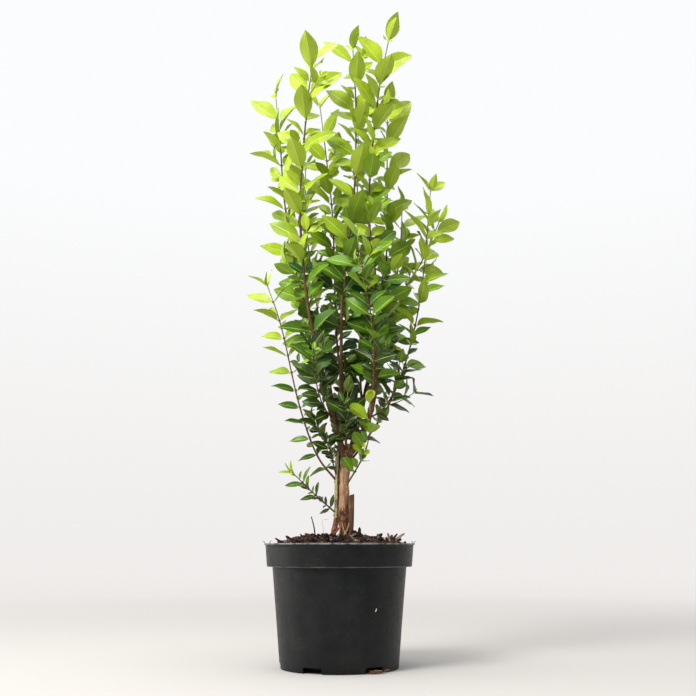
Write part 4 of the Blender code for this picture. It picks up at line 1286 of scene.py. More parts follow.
class Grower:
    """Grows the shoots one after another into one space, by the rule of the solids."""

    def __init__(self) -> None:
        """Starts with the trunk, the limbs and all stems in place."""
        self.space = Space()
        self.space.add("trunk", Trunk().solid(GAP))
        for limb in LIMBS:
            self.space.add(limb.name, limb.solid(GAP))
        for shoot in SHOOTS:
            self.space.add_stem(shoot)

    def place_leaf(self, growth: Growth, spot: Spot, bearing: float, spread: float, length: float) -> None:
        """Adds a leaf where it fits, turned or shortened a little if need be, or leaves it out.

        Args:
            growth: The shoot's growth.
            spot: Where the leaf leaves the stem, and the stem's direction there.
            bearing: Degrees round the stem.
            spread: Degrees away from the stem.
            length: Its length.
        """
        draw = growth.rng.uniform
        length *= draw(*LEAF_LENGTH_RANGE)
        arch = draw(*LEAF_ARCH)
        roll = draw(*LEAF_ROLL)
        bearing += draw(*BEARING_JITTER)
        spread += draw(*SPREAD_JITTER)
        seat = Seat(spot, bearing, spread, length, arch, roll, growth.sprays)
        if not self.is_bare(growth.shoot, spot, bearing) and not self.fill(growth, seat, LEAF_TRIES):
            growth.empty.append(seat)

    @staticmethod
    def is_bare(shoot: Shoot, spot: Spot, bearing: float) -> bool:
        """Tells if a leaf would sit on old wood that carries none to its front or its right.

        Args:
            shoot: The shoot.
            spot: The spot on its stem.
            bearing: Degrees round the stem.

        Returns:
            True where it would.
        """
        root, heading = spot
        facing = round_stem(heading, bearing)
        front = root.z < shoot.front_bare_to and facing.y < -FRONT_FACING
        return front or (root.z < shoot.right_bare_to and facing.x > RIGHT_FACING)

    def fill(self, growth: Growth, seat: Seat, tries: Sequence[Mark] = FINE_TRIES) -> bool:
        """Puts a leaf on a seat, in the first of some positions that is free.

        Args:
            growth: The shoot's growth.
            seat: The seat.
            tries: Turn, tilt and size of each position.

        Returns:
            True where a leaf was added.
        """
        name = growth.shoot.name
        for turn, tilt, share in tries:
            leaf = seat.leaf(growth.shoot, turn, tilt, share)
            tip = leaf.point(1.0)
            if growth.within and any(not low <= here <= high for low, here, high in
                                     zip(growth.within[0], tip, growth.within[1])):
                continue
            if not self.space.is_own(name, leaf.root + leaf.along * (leaf.length * 0.5)):
                continue
            if self.space.is_free(name, leaf.envelope(), leaf.envelope(BLADE_START)):
                growth.leaves.append(leaf)
                self.space.add(name, leaf.body(), leaf.body(BLADE_START))
                return True
        return False

    def place_pair(self, growth: Growth, spot: Spot, bearing: float, spread: float, length: float) -> None:
        """Adds two opposite leaves.

        Args:
            growth: The shoot's growth.
            spot: Where they leave the stem, and the stem's direction there.
            bearing: Degrees round the stem, for the first of them.
            spread: Degrees away from the stem.
            length: Their length.
        """
        growth.sprays += 1
        for side in OPPOSITE:
            self.place_leaf(growth, spot, bearing + side, spread, length)

    def place_twig(self, growth: Growth, spot: Spot, bearing: float, length: float,
                   radii: Ends) -> Twig | None:
        """Adds a side twig, if it stands clear.

        Args:
            growth: The shoot's growth.
            spot: Where the twig leaves the stem, and the stem's direction there.
            bearing: Degrees round the stem.
            length: Its length.
            radii: Its radius at each end.

        Returns:
            The twig, or None.
        """
        root, heading = spot
        start = heading * math.cos(TWIG_LEAN) + round_stem(heading, bearing) * math.sin(TWIG_LEAN)
        points = []
        for step in range(TWIG_STEPS + 1):
            reach = length * step / TWIG_STEPS
            points.append(root + start * reach + UP * (reach * reach / length * TWIG_RISE))
        twig = Twig(tuple(points), radii)
        name = growth.shoot.name
        if self.space.is_own(name, points[-1]) and self.space.is_free(
                name, twig.body(LEAF_CLEARANCE), twig.body(LEAF_CLEARANCE, 1)):
            self.space.add(name, twig.body(), twig.body(first=1))
            return twig
        return None

    def grow(self, shoot: Shoot) -> Growth:
        """Grows the twigs and leaves that the shoot's solid has too.

        Args:
            shoot: The shoot.

        Returns:
            What it grew.
        """
        rng = random.Random(shoot.seed)
        route, length = shoot.stem_route()
        growth = Growth(shoot, rng, route, length)
        distance = shoot.first_pair
        pair = 0
        while distance < length - shoot.pair_gap[1] * TOP_GAP_SHARE:
            share = distance / length
            spot = point_on(route, share)
            leaf_length = between(shoot.leaf_length, min(share / FULL_LEAF_SHARE, 1.0))
            bearing = shoot.bearing + shoot.pair_turn * (pair % 2) + rng.uniform(*PAIR_JITTER)
            self.place_pair(growth, spot, bearing, between(shoot.spread, share), leaf_length)
            growth.pairs.append((spot, bearing, leaf_length))
            first_twig, last_twig = shoot.twig_pairs
            if last_twig and first_twig <= pair <= last_twig:
                side = 180.0 * rng.randint(0, 1) + rng.uniform(*TWIG_JITTER)
                twig = self.place_twig(growth, spot, bearing + side, rng.uniform(*TWIG_LENGTH), TWIG_RADIUS)
                if twig:
                    growth.twigs.append(twig)
                    turn = rng.uniform(0.0, 90.0)
                    for number, place in enumerate(TWIG_PAIR_PLACES):
                        self.place_pair(growth, point_on(twig.points, place), turn + 90.0 * number,
                                        TWIG_LEAF_SPREAD, leaf_length * TWIG_LEAF_SHARE)
            distance += between(shoot.pair_gap, share) * rng.uniform(*PAIR_GAP_RANGE)
            pair += 1
        tip = point_on(route, TOP_PLACE)
        self.place_pair(growth, tip, shoot.bearing + shoot.pair_turn * (pair % 2), TOP_PAIR_SPREAD,
                        shoot.leaf_length[1] * TOP_PAIR_SHARE)
        self.place_leaf(growth, tip, FRONT + rng.uniform(*TOP_JITTER), TOP_LEAF_SPREAD, shoot.top_leaf)
        return growth

    def refine(self, growth: Growth) -> None:
        """Carries a shoot on to finer twigs and smaller leaves, within the reach that it has.

        Args:
            growth: What the shoot has grown so far.
        """
        shoot = growth.shoot
        growth.rng = rng = random.Random(FINE_SEED + shoot.seed)
        growth.within = growth.reach()
        for seat in growth.empty:
            self.fill(growth, replace(seat, length=seat.length * rng.uniform(*REFILL_SHARE)))
        for ((low, _), turn, leaf_length), ((high, heading), _, _) in zip(growth.pairs, growth.pairs[1:]):
            spot = (low.lerp(high, rng.uniform(*BETWEEN_PLACE)), heading)
            growth.sprays += 1
            turn += 90.0 if shoot.pair_turn < CROSSWISE_FROM else 45.0
            for side in OPPOSITE:
                way = turn + side + rng.uniform(*BETWEEN_JITTER)
                if rng.random() <= shoot.between_chance and not self.is_bare(shoot, spot, way):
                    self.fill(growth, Seat(spot, way, rng.uniform(*BETWEEN_SPREAD),
                                           leaf_length * rng.uniform(*BETWEEN_SHARE),
                                           rng.uniform(*LEAF_ARCH), rng.uniform(*LEAF_ROLL), growth.sprays))
        seats = [(*pair, 180.0 * side + FINE_TURN * turn) for turn in range(shoot.fine_rounds)
                 for pair in growth.pairs for side in range(2)]
        for spot, bearing, leaf_length, side in seats:
            way = bearing + side + rng.uniform(*FINE_TWIG_JITTER)
            chance = between(FINE_CHANCE, clamped((spot[0].z - FINE_THINS_FROM) / FINE_THINS_OVER))
            if rng.random() > chance or self.is_bare(shoot, spot, way):
                continue
            twig = self.place_twig(growth, spot, way, rng.uniform(*FINE_TWIG_LENGTH), FINE_TWIG_RADIUS)
            if twig:
                growth.fine_twigs.append(twig)
                self.leaf_fine_twig(growth, twig, leaf_length)
        for wood in [growth.route] + [twig.points for twig in growth.twigs]:
            growth.sprays += 1
            turn = rng.uniform(0.0, 180.0)
            for side in OPPOSITE:
                seat = Seat(point_on(wood, 1.0), turn + side, BUD_SPREAD, rng.uniform(*BUD_LEAF), BUD_ARCH,
                            0.0, growth.sprays)
                growth.leaves.append(seat.leaf(replace(shoot, leaf_breadth=BUD_BREADTH)))

    def leaf_fine_twig(self, growth: Growth, twig: Twig, leaf_length: float) -> None:
        """Puts pairs of small leaves on a fine twig.

        Args:
            growth: The shoot's growth.
            twig: The twig.
            leaf_length: The length of the leaves that stand beside it.
        """
        draw = growth.rng.uniform
        turn = draw(0.0, 90.0)
        for number, place in enumerate(FINE_PAIR_PLACES):
            growth.sprays += 1
            size = leaf_length * draw(*FINE_LEAF_SHARE) * (OUTER_PAIR_SHARE if number else 1.0)
            for side in OPPOSITE:
                self.fill(growth, Seat(point_on(twig.points, place), turn + 90.0 * number + side,
                                       draw(*FINE_SPREAD), size * draw(*FINE_LEAF_RANGE), draw(*FINE_ARCH),
                                       draw(*LEAF_ROLL), growth.sprays))


# Foliage

TONE_SEED = 2000
BLADE_SEED = 3000
BUD_SEED = 4000


@dataclass(frozen=True)
class BladePattern:
    """How a leaf's blade, midrib and stalk are drawn out in faces; shares of its half width."""

    rows: int = 10
    small_rows: int = 7
    small_leaf: float = 0.024
    stalk_share: float = 0.085
    stalk_overlap: float = 0.05
    stalk_radius: float = 0.013
    stalk_taper: Mark = (1.25, 1.0, 0.45)
    stalk_sides: int = 5
    breadth: float = 0.89
    base_power: float = 0.84
    tip_power: float = 0.98
    rib: float = 0.05
    fold: Ends = (0.34, 0.84)
    droop: float = 0.24
    wave: float = 0.06
    wave_rate: float = 11.0
    twist: Ends = (-0.42, 0.42)
    twist_middle: float = 0.3
    bend: Ends = (-0.045, 0.045)
    thickness: float = 0.00034
    rib_thickness: float = 2.2

    UPPER, UNDER, RIB = range(3)

    def width(self, share: float) -> float:
        """The half width of the blade.

        Args:
            share: The place along it, from 0 to 1.

        Returns:
            A share of the widest half width.
        """
        peak = self.base_power / (self.base_power + self.tip_power)
        top = peak ** self.base_power * (1.0 - peak) ** self.tip_power
        return share ** self.base_power * (1.0 - share) ** self.tip_power / top

    def draw(self, draft: Draft, leaf: Leaf, first_slot: int, rng: random.Random) -> None:
        """Draws a leaf.

        Args:
            draft: The mesh that it goes into.
            leaf: The leaf.
            first_slot: The material number of its upper side, then underside and rib.
            rng: Random numbers for its wavy margin.
        """
        rows = self.small_rows if leaf.length < self.small_leaf else self.rows
        seed = rng.random()
        phase = rng.uniform(0.0, math.tau)
        twist = rng.uniform(*self.twist)
        bend = rng.uniform(*self.bend) * leaf.length
        fold = rng.uniform(*self.fold)
        over = (-1.0, -0.5, -self.rib, self.rib, 0.5, 1.0)
        under = over[1:-1]
        points = [leaf.point(self.stalk_share)]
        marks = [(0.0, 0.0, seed)]
        for row in range(1, rows):
            even = row / rows
            share = 0.5 * even + 0.25 * (1.0 - math.cos(math.pi * even))
            half = leaf.half_width * self.breadth * self.width(share)
            turn = twist * (share - self.twist_middle)
            for place, across in enumerate(over + under):
                side = abs(across)
                lift = half * (fold * side - self.droop * side * side)
                ripple = math.sin(phase + self.wave_rate * share + across)
                lift += leaf.half_width * self.wave * side ** 3 * ripple
                if place >= len(over):
                    lift -= self.thickness * (self.rib_thickness if side <= self.rib else 1.0)
                points.append(leaf.point(
                    self.stalk_share + share * (1.0 - self.stalk_share),
                    across * half * math.cos(turn) - lift * math.sin(turn) + bend * share * share,
                    across * half * math.sin(turn) + lift * math.cos(turn)))
                marks.append((share, across, seed))
        points.append(leaf.point(1.0, bend))
        marks.append((1.0, 0.0, seed))
        faces, slots = self.skin(rows, len(over), len(under), first_slot)
        draft.add((points, faces), slots, marks)
        stalk = [leaf.point(share) for share in (0.0, 0.05, self.stalk_share + self.stalk_overlap)]
        radius = leaf.length * self.stalk_radius
        body = tube(stalk, [radius * share for share in self.stalk_taper], self.stalk_sides)
        draft.add(body, first_slot + self.RIB, [(0.0, 0.0, seed)] * len(body[0]))

    def skin(self, rows: int, over: int, under: int, first_slot: int) -> tuple[list[Face], list[int]]:
        """The faces over a blade's points, and the material number of each.

        Args:
            rows: Rows of faces along the blade.
            over: Points across the upper side, rims included.
            under: Points across the underside, between the rims.
            first_slot: The material number of the upper side.

        Returns:
            Faces and material numbers.
        """
        ring = over + under
        low = [0] + list(range(over, ring)) + [over - 1]
        last = 1 + (rows - 1) * ring
        faces = []
        slots = []
        for strip, side in ((range(over), self.UPPER), (low, self.UNDER)):
            for number, (left, right) in enumerate(zip(strip, strip[1:])):
                columns = [(0, 0)] + [(1 + row * ring + left, 1 + row * ring + right)
                                      for row in range(rows - 1)] + [(last, last)]
                for (here, beside), (there, across) in zip(columns, columns[1:]):
                    faces.append(tuple(dict.fromkeys((here, beside, across, there))))
                    slots.append(first_slot + (self.RIB if number == over // 2 - 1 else side))
        return faces, slots


@dataclass
class ToneDealer:
    """Deals one tone to each spray: lime at the top and outside, dark on the old wood within, a darkening
    that is partly the older leaves' own tone and partly painted shade.
    """

    shoot: Shoot
    low: float = 0.36
    high: float = 0.90
    span: float = 7.0
    scatter: float = 0.95
    blue_share: float = 0.04
    blue_between: Ends = (0.15, 0.75)
    curve: float = 1.7
    inner: float = 2.2
    inner_middle: Ends = (0.012, 0.0)
    inner_reach: float = 0.11
    inner_level: Ends = (0.90, 0.72)
    outer_shift: float = -0.5
    dealt: dict[int, int] = field(default_factory=dict)

    def __post_init__(self) -> None:
        """Starts the shoot's own random numbers."""
        self.rng = random.Random(TONE_SEED + self.shoot.seed)

    def tone(self, leaf: Leaf) -> int:
        """The number of a leaf's tone, which is that of its spray.

        Args:
            leaf: The leaf.

        Returns:
            Its tone's place in the table.
        """
        if leaf.spray not in self.dealt:
            level = leaf.root.z
            height = (level - self.low) / (self.high - self.low)
            score = self.span * (1.0 - clamped(height)) ** self.curve + self.shoot.light
            score += self.shoot.tip_light * self.shoot.share(level) ** 2
            # Sprays near the crown's middle and low down get darker tones, partly for older leaves and
            # partly as painted shade.
            away = math.hypot(leaf.root.x - self.inner_middle[0], leaf.root.y - self.inner_middle[1])
            deep = clamped((self.inner_level[0] - level) / (self.inner_level[0] - self.inner_level[1]))
            score += self.inner * clamped(1.0 - away / self.inner_reach) * deep + self.outer_shift
            score += self.rng.gauss(0.0, self.scatter)
            low, high = self.blue_between
            blue = self.rng.random() < self.blue_share and low < height < high
            self.dealt[leaf.spray] = BLUE_GREEN if blue else round(min(max(score, 0.0), BLUE_GREEN - 1.0))
        return self.dealt[leaf.spray]


@dataclass
class Foliage:
    """The leafy masses: for each shoot a piece of leaves, and a piece of stem, twigs and buds."""

    pattern: BladePattern = field(default_factory=BladePattern)
    stem_step: float = 0.0035
    stem_sides: int = 9
    stem_share: float = 0.80
    swell_fall: float = 0.035
    node_swelling: float = 0.20
    node_length: float = 0.0026
    twig_rings: int = 9
    twig_sides: int = 6
    twig_share: float = 0.85
    old_wood_to: float = 0.62
    green_from: float = 0.90
    bud_length: Ends = (0.0022, 0.0036)
    bud_lean: Ends = (0.86, 0.50)
    bud_foot: Ends = (0.0006, 0.0014)
    bud_shape: tuple = ((0.0, 0.20), (0.35, 0.28), (0.75, 0.17), (1.0, 0.03))

    OLD, YOUNG, GREEN = range(3)

    def build(self) -> None:
        """Grows and dresses all the shoots."""
        tones = [tone.materials() for tone in LEAF_TONES]
        barks = [finish.material() for finish in (OLD_TWIG, YOUNG_TWIG, GREEN_TWIG)]
        grower = Grower()
        growths = [grower.grow(shoot) for shoot in SHOOTS]
        LOG.info("leaves of the solids: %d", sum(len(growth.leaves) for growth in growths))
        for growth in growths:
            grower.refine(growth)
        LOG.info("leaves in all: %d", sum(len(growth.leaves) for growth in growths))
        for growth in growths:
            self.dress_leaves(growth, tones)
            self.dress_twigs(growth, barks)

    def dress_leaves(self, growth: Growth, tones: Sequence[tuple[Material, ...]]) -> None:
        """Draws the leaves of one shoot as one piece.

        Args:
            growth: What the shoot grew.
            tones: The three materials of each tone.
        """
        dealer = ToneDealer(growth.shoot)
        chosen = [dealer.tone(leaf) for leaf in growth.leaves]
        used = sorted(set(chosen))
        rng = random.Random(BLADE_SEED + growth.shoot.seed)
        draft = Draft()
        pattern = replace(self.pattern, tip_power=growth.shoot.tip_power)
        for leaf, tone in zip(growth.leaves, chosen):
            pattern.draw(draft, leaf, 3 * used.index(tone), rng)
        name = growth.shoot.name
        materials = [material for tone in used for material in tones[tone]]
        attach(draft.to_object(name + "_leaves", materials, "blade"), "foliage", name)

    def dress_twigs(self, growth: Growth, barks: Sequence[Material]) -> None:
        """Draws the stem, twigs and buds of one shoot as one piece.

        Args:
            growth: What the shoot grew.
            barks: Old, young and green bark.
        """
        shoot = growth.shoot
        rng = random.Random(BUD_SEED + shoot.seed)
        draft = Draft()
        route, length = smooth_route(shoot.route, max(8, round(growth.length / self.stem_step)))
        last = len(route) - 1
        places = [self.nearest(route, root) / last * length for (root, _), _, _ in growth.pairs]
        radii = []
        for index, radius in enumerate(tapered(shoot.stem_radius, len(route))):
            along = length * index / last
            radius = radius * self.stem_share + shoot.foot_swell * math.exp(-along / self.swell_fall)
            near = [math.exp(-((along - place) / self.node_length) ** 2) for place in places]
            radii.append(radius * (1.0 + self.node_swelling * max(near, default=0.0)))
        self.draw_wood(draft, route, radii, self.stem_sides, shoot)
        for twig in growth.twigs + growth.fine_twigs:
            points, _ = smooth_route(twig.points, self.twig_rings)
            widths = [width * self.twig_share for width in tapered(twig.radii, self.twig_rings)]
            self.draw_wood(draft, points, widths, self.twig_sides, shoot)
        for spot, bearing, _ in growth.pairs:
            for side in OPPOSITE:
                self.draw_bud(draft, spot, bearing + side, rng)
        attach(draft.to_object(shoot.name + "_twigs", barks), "foliage", shoot.name)

    @staticmethod
    def nearest(route: Route, spot: Vector) -> int:
        """The number of the route's point that is nearest to a spot."""
        return min(range(len(route)), key=lambda index: (route[index] - spot).length)

    def bark(self, height: float, shoot: Shoot) -> int:
        """The bark at a height on a shoot."""
        young = self.YOUNG if height > self.old_wood_to else self.OLD
        return self.GREEN if shoot.share(height) > self.green_from else young

    def draw_wood(self, draft: Draft, route: Route, radii: Sequence[float], sides: int,
                  shoot: Shoot) -> None:
        """Draws a stem or twig, its bark chosen by its height and its place on the shoot.

        Args:
            draft: The mesh that it goes into.
            route: The points of its middle line.
            radii: Its radius at each of them.
            sides: How many sides it has.
            shoot: The shoot that it belongs to.
        """
        barks = [self.bark(spot.z, shoot) for spot in route]
        round_it = [bark for bark in barks[:-1] for _ in range(sides)]
        draft.add_tube(route, radii, sides, [barks[0], *round_it, barks[-1]])

    def draw_bud(self, draft: Draft, spot: Spot, bearing: float, rng: random.Random) -> None:
        """Draws the small pointed bud above a leaf stalk.

        Args:
            draft: The mesh that it goes into.
            spot: The middle of the stem there, and the stem's direction.
            bearing: Degrees round the stem.
            rng: Random numbers for its size.
        """
        root, heading = spot
        length = rng.uniform(*self.bud_length)
        away = round_stem(heading, bearing)
        start = heading * self.bud_lean[0] + away * self.bud_lean[1]
        foot = root + away * self.bud_foot[0] + heading * self.bud_foot[1]
        route = [foot + start * (length * share) for share, _ in self.bud_shape]
        radii = [length * width for _, width in self.bud_shape]
        slot = self.OLD if root.z < self.old_wood_to else self.GREEN
        draft.add_tube(route, radii, self.twig_sides, slot)


# Trunk, stems and boughs

def bark_ridges(angle: float, along: float, seed: float, around: float = 2.4, rate: float = 90.0) -> float:
    """Long low ridges and hollows of bark, from about -1 to 1.

    Args:
        angle: The angle round the wood.
        along: The place along it.
        seed: A number that gives each use its own ridges.
        around: How many there are round it, roughly.
        rate: How many there are along a metre, roughly.

    Returns:
        The height.
    """
    spot = Vector((math.cos(angle) * around + seed, math.sin(angle) * around, along * rate))
    fine = Vector((spot.x * 2.7, spot.y * 2.7, spot.z * 2.2 + 9.0))
    return noise.noise(spot) + 0.45 * noise.noise(fine)


@dataclass
class TrunkDress:
    """The trunk: root flare, ridged bark, and the callus ring round an old cut."""

    trunk: Trunk = field(default_factory=Trunk)
    sides: int = 72
    rings: int = 120
    sunk: float = 0.0035
    twist: float = 9.0
    ridge: float = 0.00055
    ridge_seed: float = 3.0
    lump: float = 0.0011
    lump_pattern: Mark = (7.0, 0.9, 42.0)
    cleft: float = 0.0026
    cleft_power: int = 6
    cleft_bearing: float = 0.4
    cleft_fall: float = 0.014
    scar_height: float = 0.3035
    scar_bearing: float = math.radians(-58.0)
    scar_radius: float = 0.0046
    scar_depth: float = 0.0007
    scar_edge: float = 0.0012
    callus: float = 0.0010
    callus_place: float = 1.35
    callus_width: float = 0.0013
    seams: tuple = ((0.214, 0.0007, 0.005), (0.225, -0.001, 0.0016), (0.2035, -0.001, 0.0022),
                    (0.248, 0.0006, 0.0026), (0.279, 0.0008, 0.003), (0.286, -0.0006, 0.0014))
    top_round: float = 0.004
    top_share: float = 0.25
    foot_to: float = 0.2240
    foot_waver: float = 0.012
    foot_pattern: Mark = (5.0, 1.6, 60.0)
    cut_share: float = 0.98
    sharp: float = 80.0

    BARK, CUT, FOOT = range(3)

    def scar_distance(self, angle: float, height: float) -> float:
        """How far a place is from the middle of the old cut, along the bark."""
        turn = (angle - self.scar_bearing + math.pi) % math.tau - math.pi
        return math.hypot(turn * self.trunk.radius(height), height - self.scar_height)

    def radius(self, height: float, angle: float) -> float:
        """The trunk's radius with its bark, nodes and old cut.

        Args:
            height: The height.
            angle: The angle round the trunk.

        Returns:
            The radius there.
        """
        base = self.trunk.flared(max(height, TRUNK_FOOT_LEVEL), angle)
        twisted = angle + self.twist * height
        relief = self.ridge * bark_ridges(twisted, height, self.ridge_seed)
        relief += self.lump * bark_ridges(twisted, height, *self.lump_pattern)
        cleft = max(math.cos(self.trunk.lobes * twisted + self.cleft_bearing), 0.0) ** self.cleft_power
        relief -= self.cleft * cleft * math.exp(-(height - TRUNK_FOOT_LEVEL) / self.cleft_fall)
        for place, swelling, length in self.seams:
            relief += swelling * math.exp(-((height - place) / length) ** 2)
        from_scar = self.scar_distance(angle, height)
        ring = math.exp(-((from_scar - self.scar_radius * self.callus_place) / self.callus_width) ** 2)
        hollow = clamped((self.scar_radius - from_scar) / self.scar_edge)
        return base + relief * (1.0 - hollow) + self.callus * ring - self.scar_depth * hollow

    def slot(self, height: float, angle: float) -> int:
        """Tells the cut, the rough foot and the bark apart.

        Args:
            height: The height.
            angle: The angle round the trunk.

        Returns:
            The material number there.
        """
        if self.scar_distance(angle, height) < self.scar_radius * self.cut_share:
            return self.CUT
        waver = self.foot_waver * bark_ridges(angle, height, *self.foot_pattern)
        return self.FOOT if height + waver < self.foot_to else self.BARK

    def build(self) -> None:
        """Builds the trunk."""
        route, _ = smooth_route(self.trunk.axis, self.rings)
        route.insert(0, route[0] - UP * self.sunk)
        points = []
        marks = []
        for centre in route:
            near_top = clamped((self.trunk.axis[-1][2] - centre.z) / self.top_round)
            shrink = math.sqrt(1.0 - (1.0 - near_top) ** 2) * (1.0 - self.top_share) + self.top_share
            for side in range(self.sides):
                angle = side * math.tau / self.sides
                reach = self.radius(centre.z, angle) * shrink
                points.append(centre + polar(1.0, angle) * reach)
                marks.append(tuple(polar(reach, angle, centre.z)))
        slots = [self.slot(centre.z, (side + 0.5) * math.tau / self.sides) for centre in route[:-1]
                 for side in range(self.sides)]
        draft = Draft()
        draft.add((points, tube_faces(len(route), self.sides)), [self.BARK, *slots, self.BARK], marks)
        materials = [TRUNK_BARK.material(), CUT_WOOD.material(), FOOT_BARK.material()]
        attach(draft.to_object("trunk_wood", materials, sharp=self.sharp), "bark", "trunk")


@dataclass
class LimbDress:
    """Boughs and stems: fine tubes with a collar, nodes with leaf scars, and ridged bark."""

    sides: int = 36
    step: float = 0.0014
    ridge: float = 0.00016
    ridge_seed: float = 11.0
    ridge_pattern: Ends = (1.8, 110.0)
    collar: float = 0.0010
    collar_fall: float = 0.006
    first_node: Ends = (0.014, 0.022)
    node_gap: Ends = (0.019, 0.027)
    last_node: float = 0.004
    node_swelling: float = 0.00042
    node_length: float = 0.0022
    scar_swelling: float = 0.0009
    scar_power: int = 10
    stub_tilt: float = 0.0012
    end_share: float = 0.93
    red_to: float = 0.2080
    red_waver: float = 0.006
    shaded_brown_from: float = 0.0006
    shaded_brown_waver: float = 0.0010
    waver_rate: float = 240.0
    sharp: float = 60.0
    seed: int = 5000

    BARK, CUT, BROWN, RED = range(4)

    def build(self) -> None:
        """Builds them all."""
        barks = {finish.name: finish.material() for finish in (STEM_BARK, BROWN_BARK, BOUGH_BARK)}
        others = [CUT_WOOD.material(), barks[BROWN_BARK.name], RED_BARK.material()]
        for number, limb in enumerate(LIMBS):
            self.dress(limb, number, [barks[limb.bark.name], *others])

    def shade(self, body: Body, face: Face, route: Route) -> int:
        """The second stem's bark: reddish at its foot, brown on its right, else pale green; the pale left
        and brown right are partly the bark's own tones and partly painted light and shade.

        Args:
            body: The stem's points and faces.
            face: One of its faces.
            route: The points of its middle line.

        Returns:
            The face's material number.
        """
        middle = sum((body[0][index] for index in face), Vector()) / len(face)
        centre = route[min(face[0] // self.sides, len(route) - 1)]
        waver = noise.noise(middle * self.waver_rate)
        if middle.z + self.red_waver * waver < self.red_to:
            return self.RED
        # Partly painted light and shade, partly the bark's own tones: the stem's left side pale green, its
        # right side brown.
        rightward = (middle.x - centre.x) + self.shaded_brown_waver * waver
        return self.BROWN if rightward > self.shaded_brown_from else self.BARK

    def nodes(self, rng: random.Random, length: float) -> list[Ends]:
        """The places of a limb's nodes along it, and the angle of each one's leaf scars.

        Args:
            rng: The limb's random numbers.
            length: Its length.

        Returns:
            Place and angle of each node.
        """
        nodes = []
        along = rng.uniform(*self.first_node)
        turn = rng.uniform(0.0, math.pi)
        while along < length - self.last_node:
            nodes.append((along, turn))
            along += rng.uniform(*self.node_gap)
            turn += math.pi / 2
        return nodes

    def dress(self, limb: Limb, number: int, materials: Sequence[Material]) -> None:
        """Builds one limb.

        Args:
            limb: The limb.
            number: Its number in the table, which varies its bark.
            materials: Its bark, the bare wood of a cut, the brown bark and the reddish one.
        """
        _, length = smooth_route(limb.route, 2)
        count = round(length / self.step)
        route, _ = smooth_route(limb.route, count)
        is_stub = limb.name == "pruned_stub"
        nodes = [] if is_stub else self.nodes(random.Random(self.seed + number), length)

        def relief(ring: int, angle: float) -> float:
            """Bark, collar and nodes.

            Args:
                ring: The number of a ring.
                angle: The angle round the limb.

            Returns:
                What they add to the radius there.
            """
            here = length * ring / (count - 1)
            extra = self.ridge * bark_ridges(angle, here, self.ridge_seed * number, *self.ridge_pattern)
            extra += self.collar * math.exp(-here / self.collar_fall)
            for place, bearing in nodes:
                near = math.exp(-((here - place) / self.node_length) ** 2)
                if near > 0.01:
                    facing = abs(math.cos(angle - bearing)) ** self.scar_power
                    extra += near * (self.node_swelling + self.scar_swelling * facing)
            return extra

        radii = tapered(limb.radii, count)
        radii[-1] *= self.end_share
        body = tube(route, radii, self.sides, relief)
        slots = [self.BARK] * (len(body[1]) - 1) + [self.CUT if is_stub else self.BARK]
        if limb.bark is STEM_BARK:
            slots = [self.shade(body, face, route) for face in body[1]]
        if is_stub:
            for point in body[0][-self.sides:]:
                point.z += (point.x - route[-1].x) / limb.radii[1] * self.stub_tilt
        draft = Draft()
        draft.add(body, slots, tube_marks(route, radii, self.sides))
        attach(draft.to_object(limb.name + "_wood", materials, sharp=self.sharp), "bark", limb.name)


# Mulch

def chip_finish(name: str, light: Tint, dark: Tint) -> BarkFinish:
    """One sort of chipped bark: a light and a dark tone along its grain."""
    return BarkFinish("chip_" + name, light, dark, dark, grain_size=900.0, grain_length=0.10, crack=0.8,
                      patch_low=0.55, dust=0.04)


CHIP_FINISHES = (
    chip_finish("red_brown", (114, 64, 46), (46, 23, 13)),
    chip_finish("dark_brown", (64, 39, 28), (25, 14, 9)),
    chip_finish("grey_pink", (204, 180, 172), (118, 90, 84)),
    chip_finish("tan", (160, 120, 92), (86, 54, 40)),
    chip_finish("black_brown", (36, 24, 18), (15, 9, 7)),
    chip_finish("pale_pink", (222, 206, 196), (150, 122, 112)),
)
CHIP_SHARES = (0.28, 0.56, 0.64, 0.68, 0.99, 1.0)
CRUMB = BarkFinish("crumb", (50, 31, 20), (24, 14, 9), (66, 41, 28), grain_size=520.0, grain_length=1.0,
                   relief=0.0010, dust=0.03)
FIBRE = BarkFinish("fibre", (196, 166, 128), (150, 118, 86), (176, 140, 104), grain_size=2600.0, crack=0.1,
                   relief=0.0001)
PALE_FLAKE = BarkFinish("pale_flake", (226, 222, 208), (190, 184, 166), (214, 208, 190), grain_size=900.0,
                        crack=0.0, relief=0.0001, dust=0.0)
ROOT_STRAND = BarkFinish("root_strand", (150, 92, 62), (98, 58, 42), (168, 120, 84), grain_size=2000.0,
                         crack=0.2, relief=0.0002)

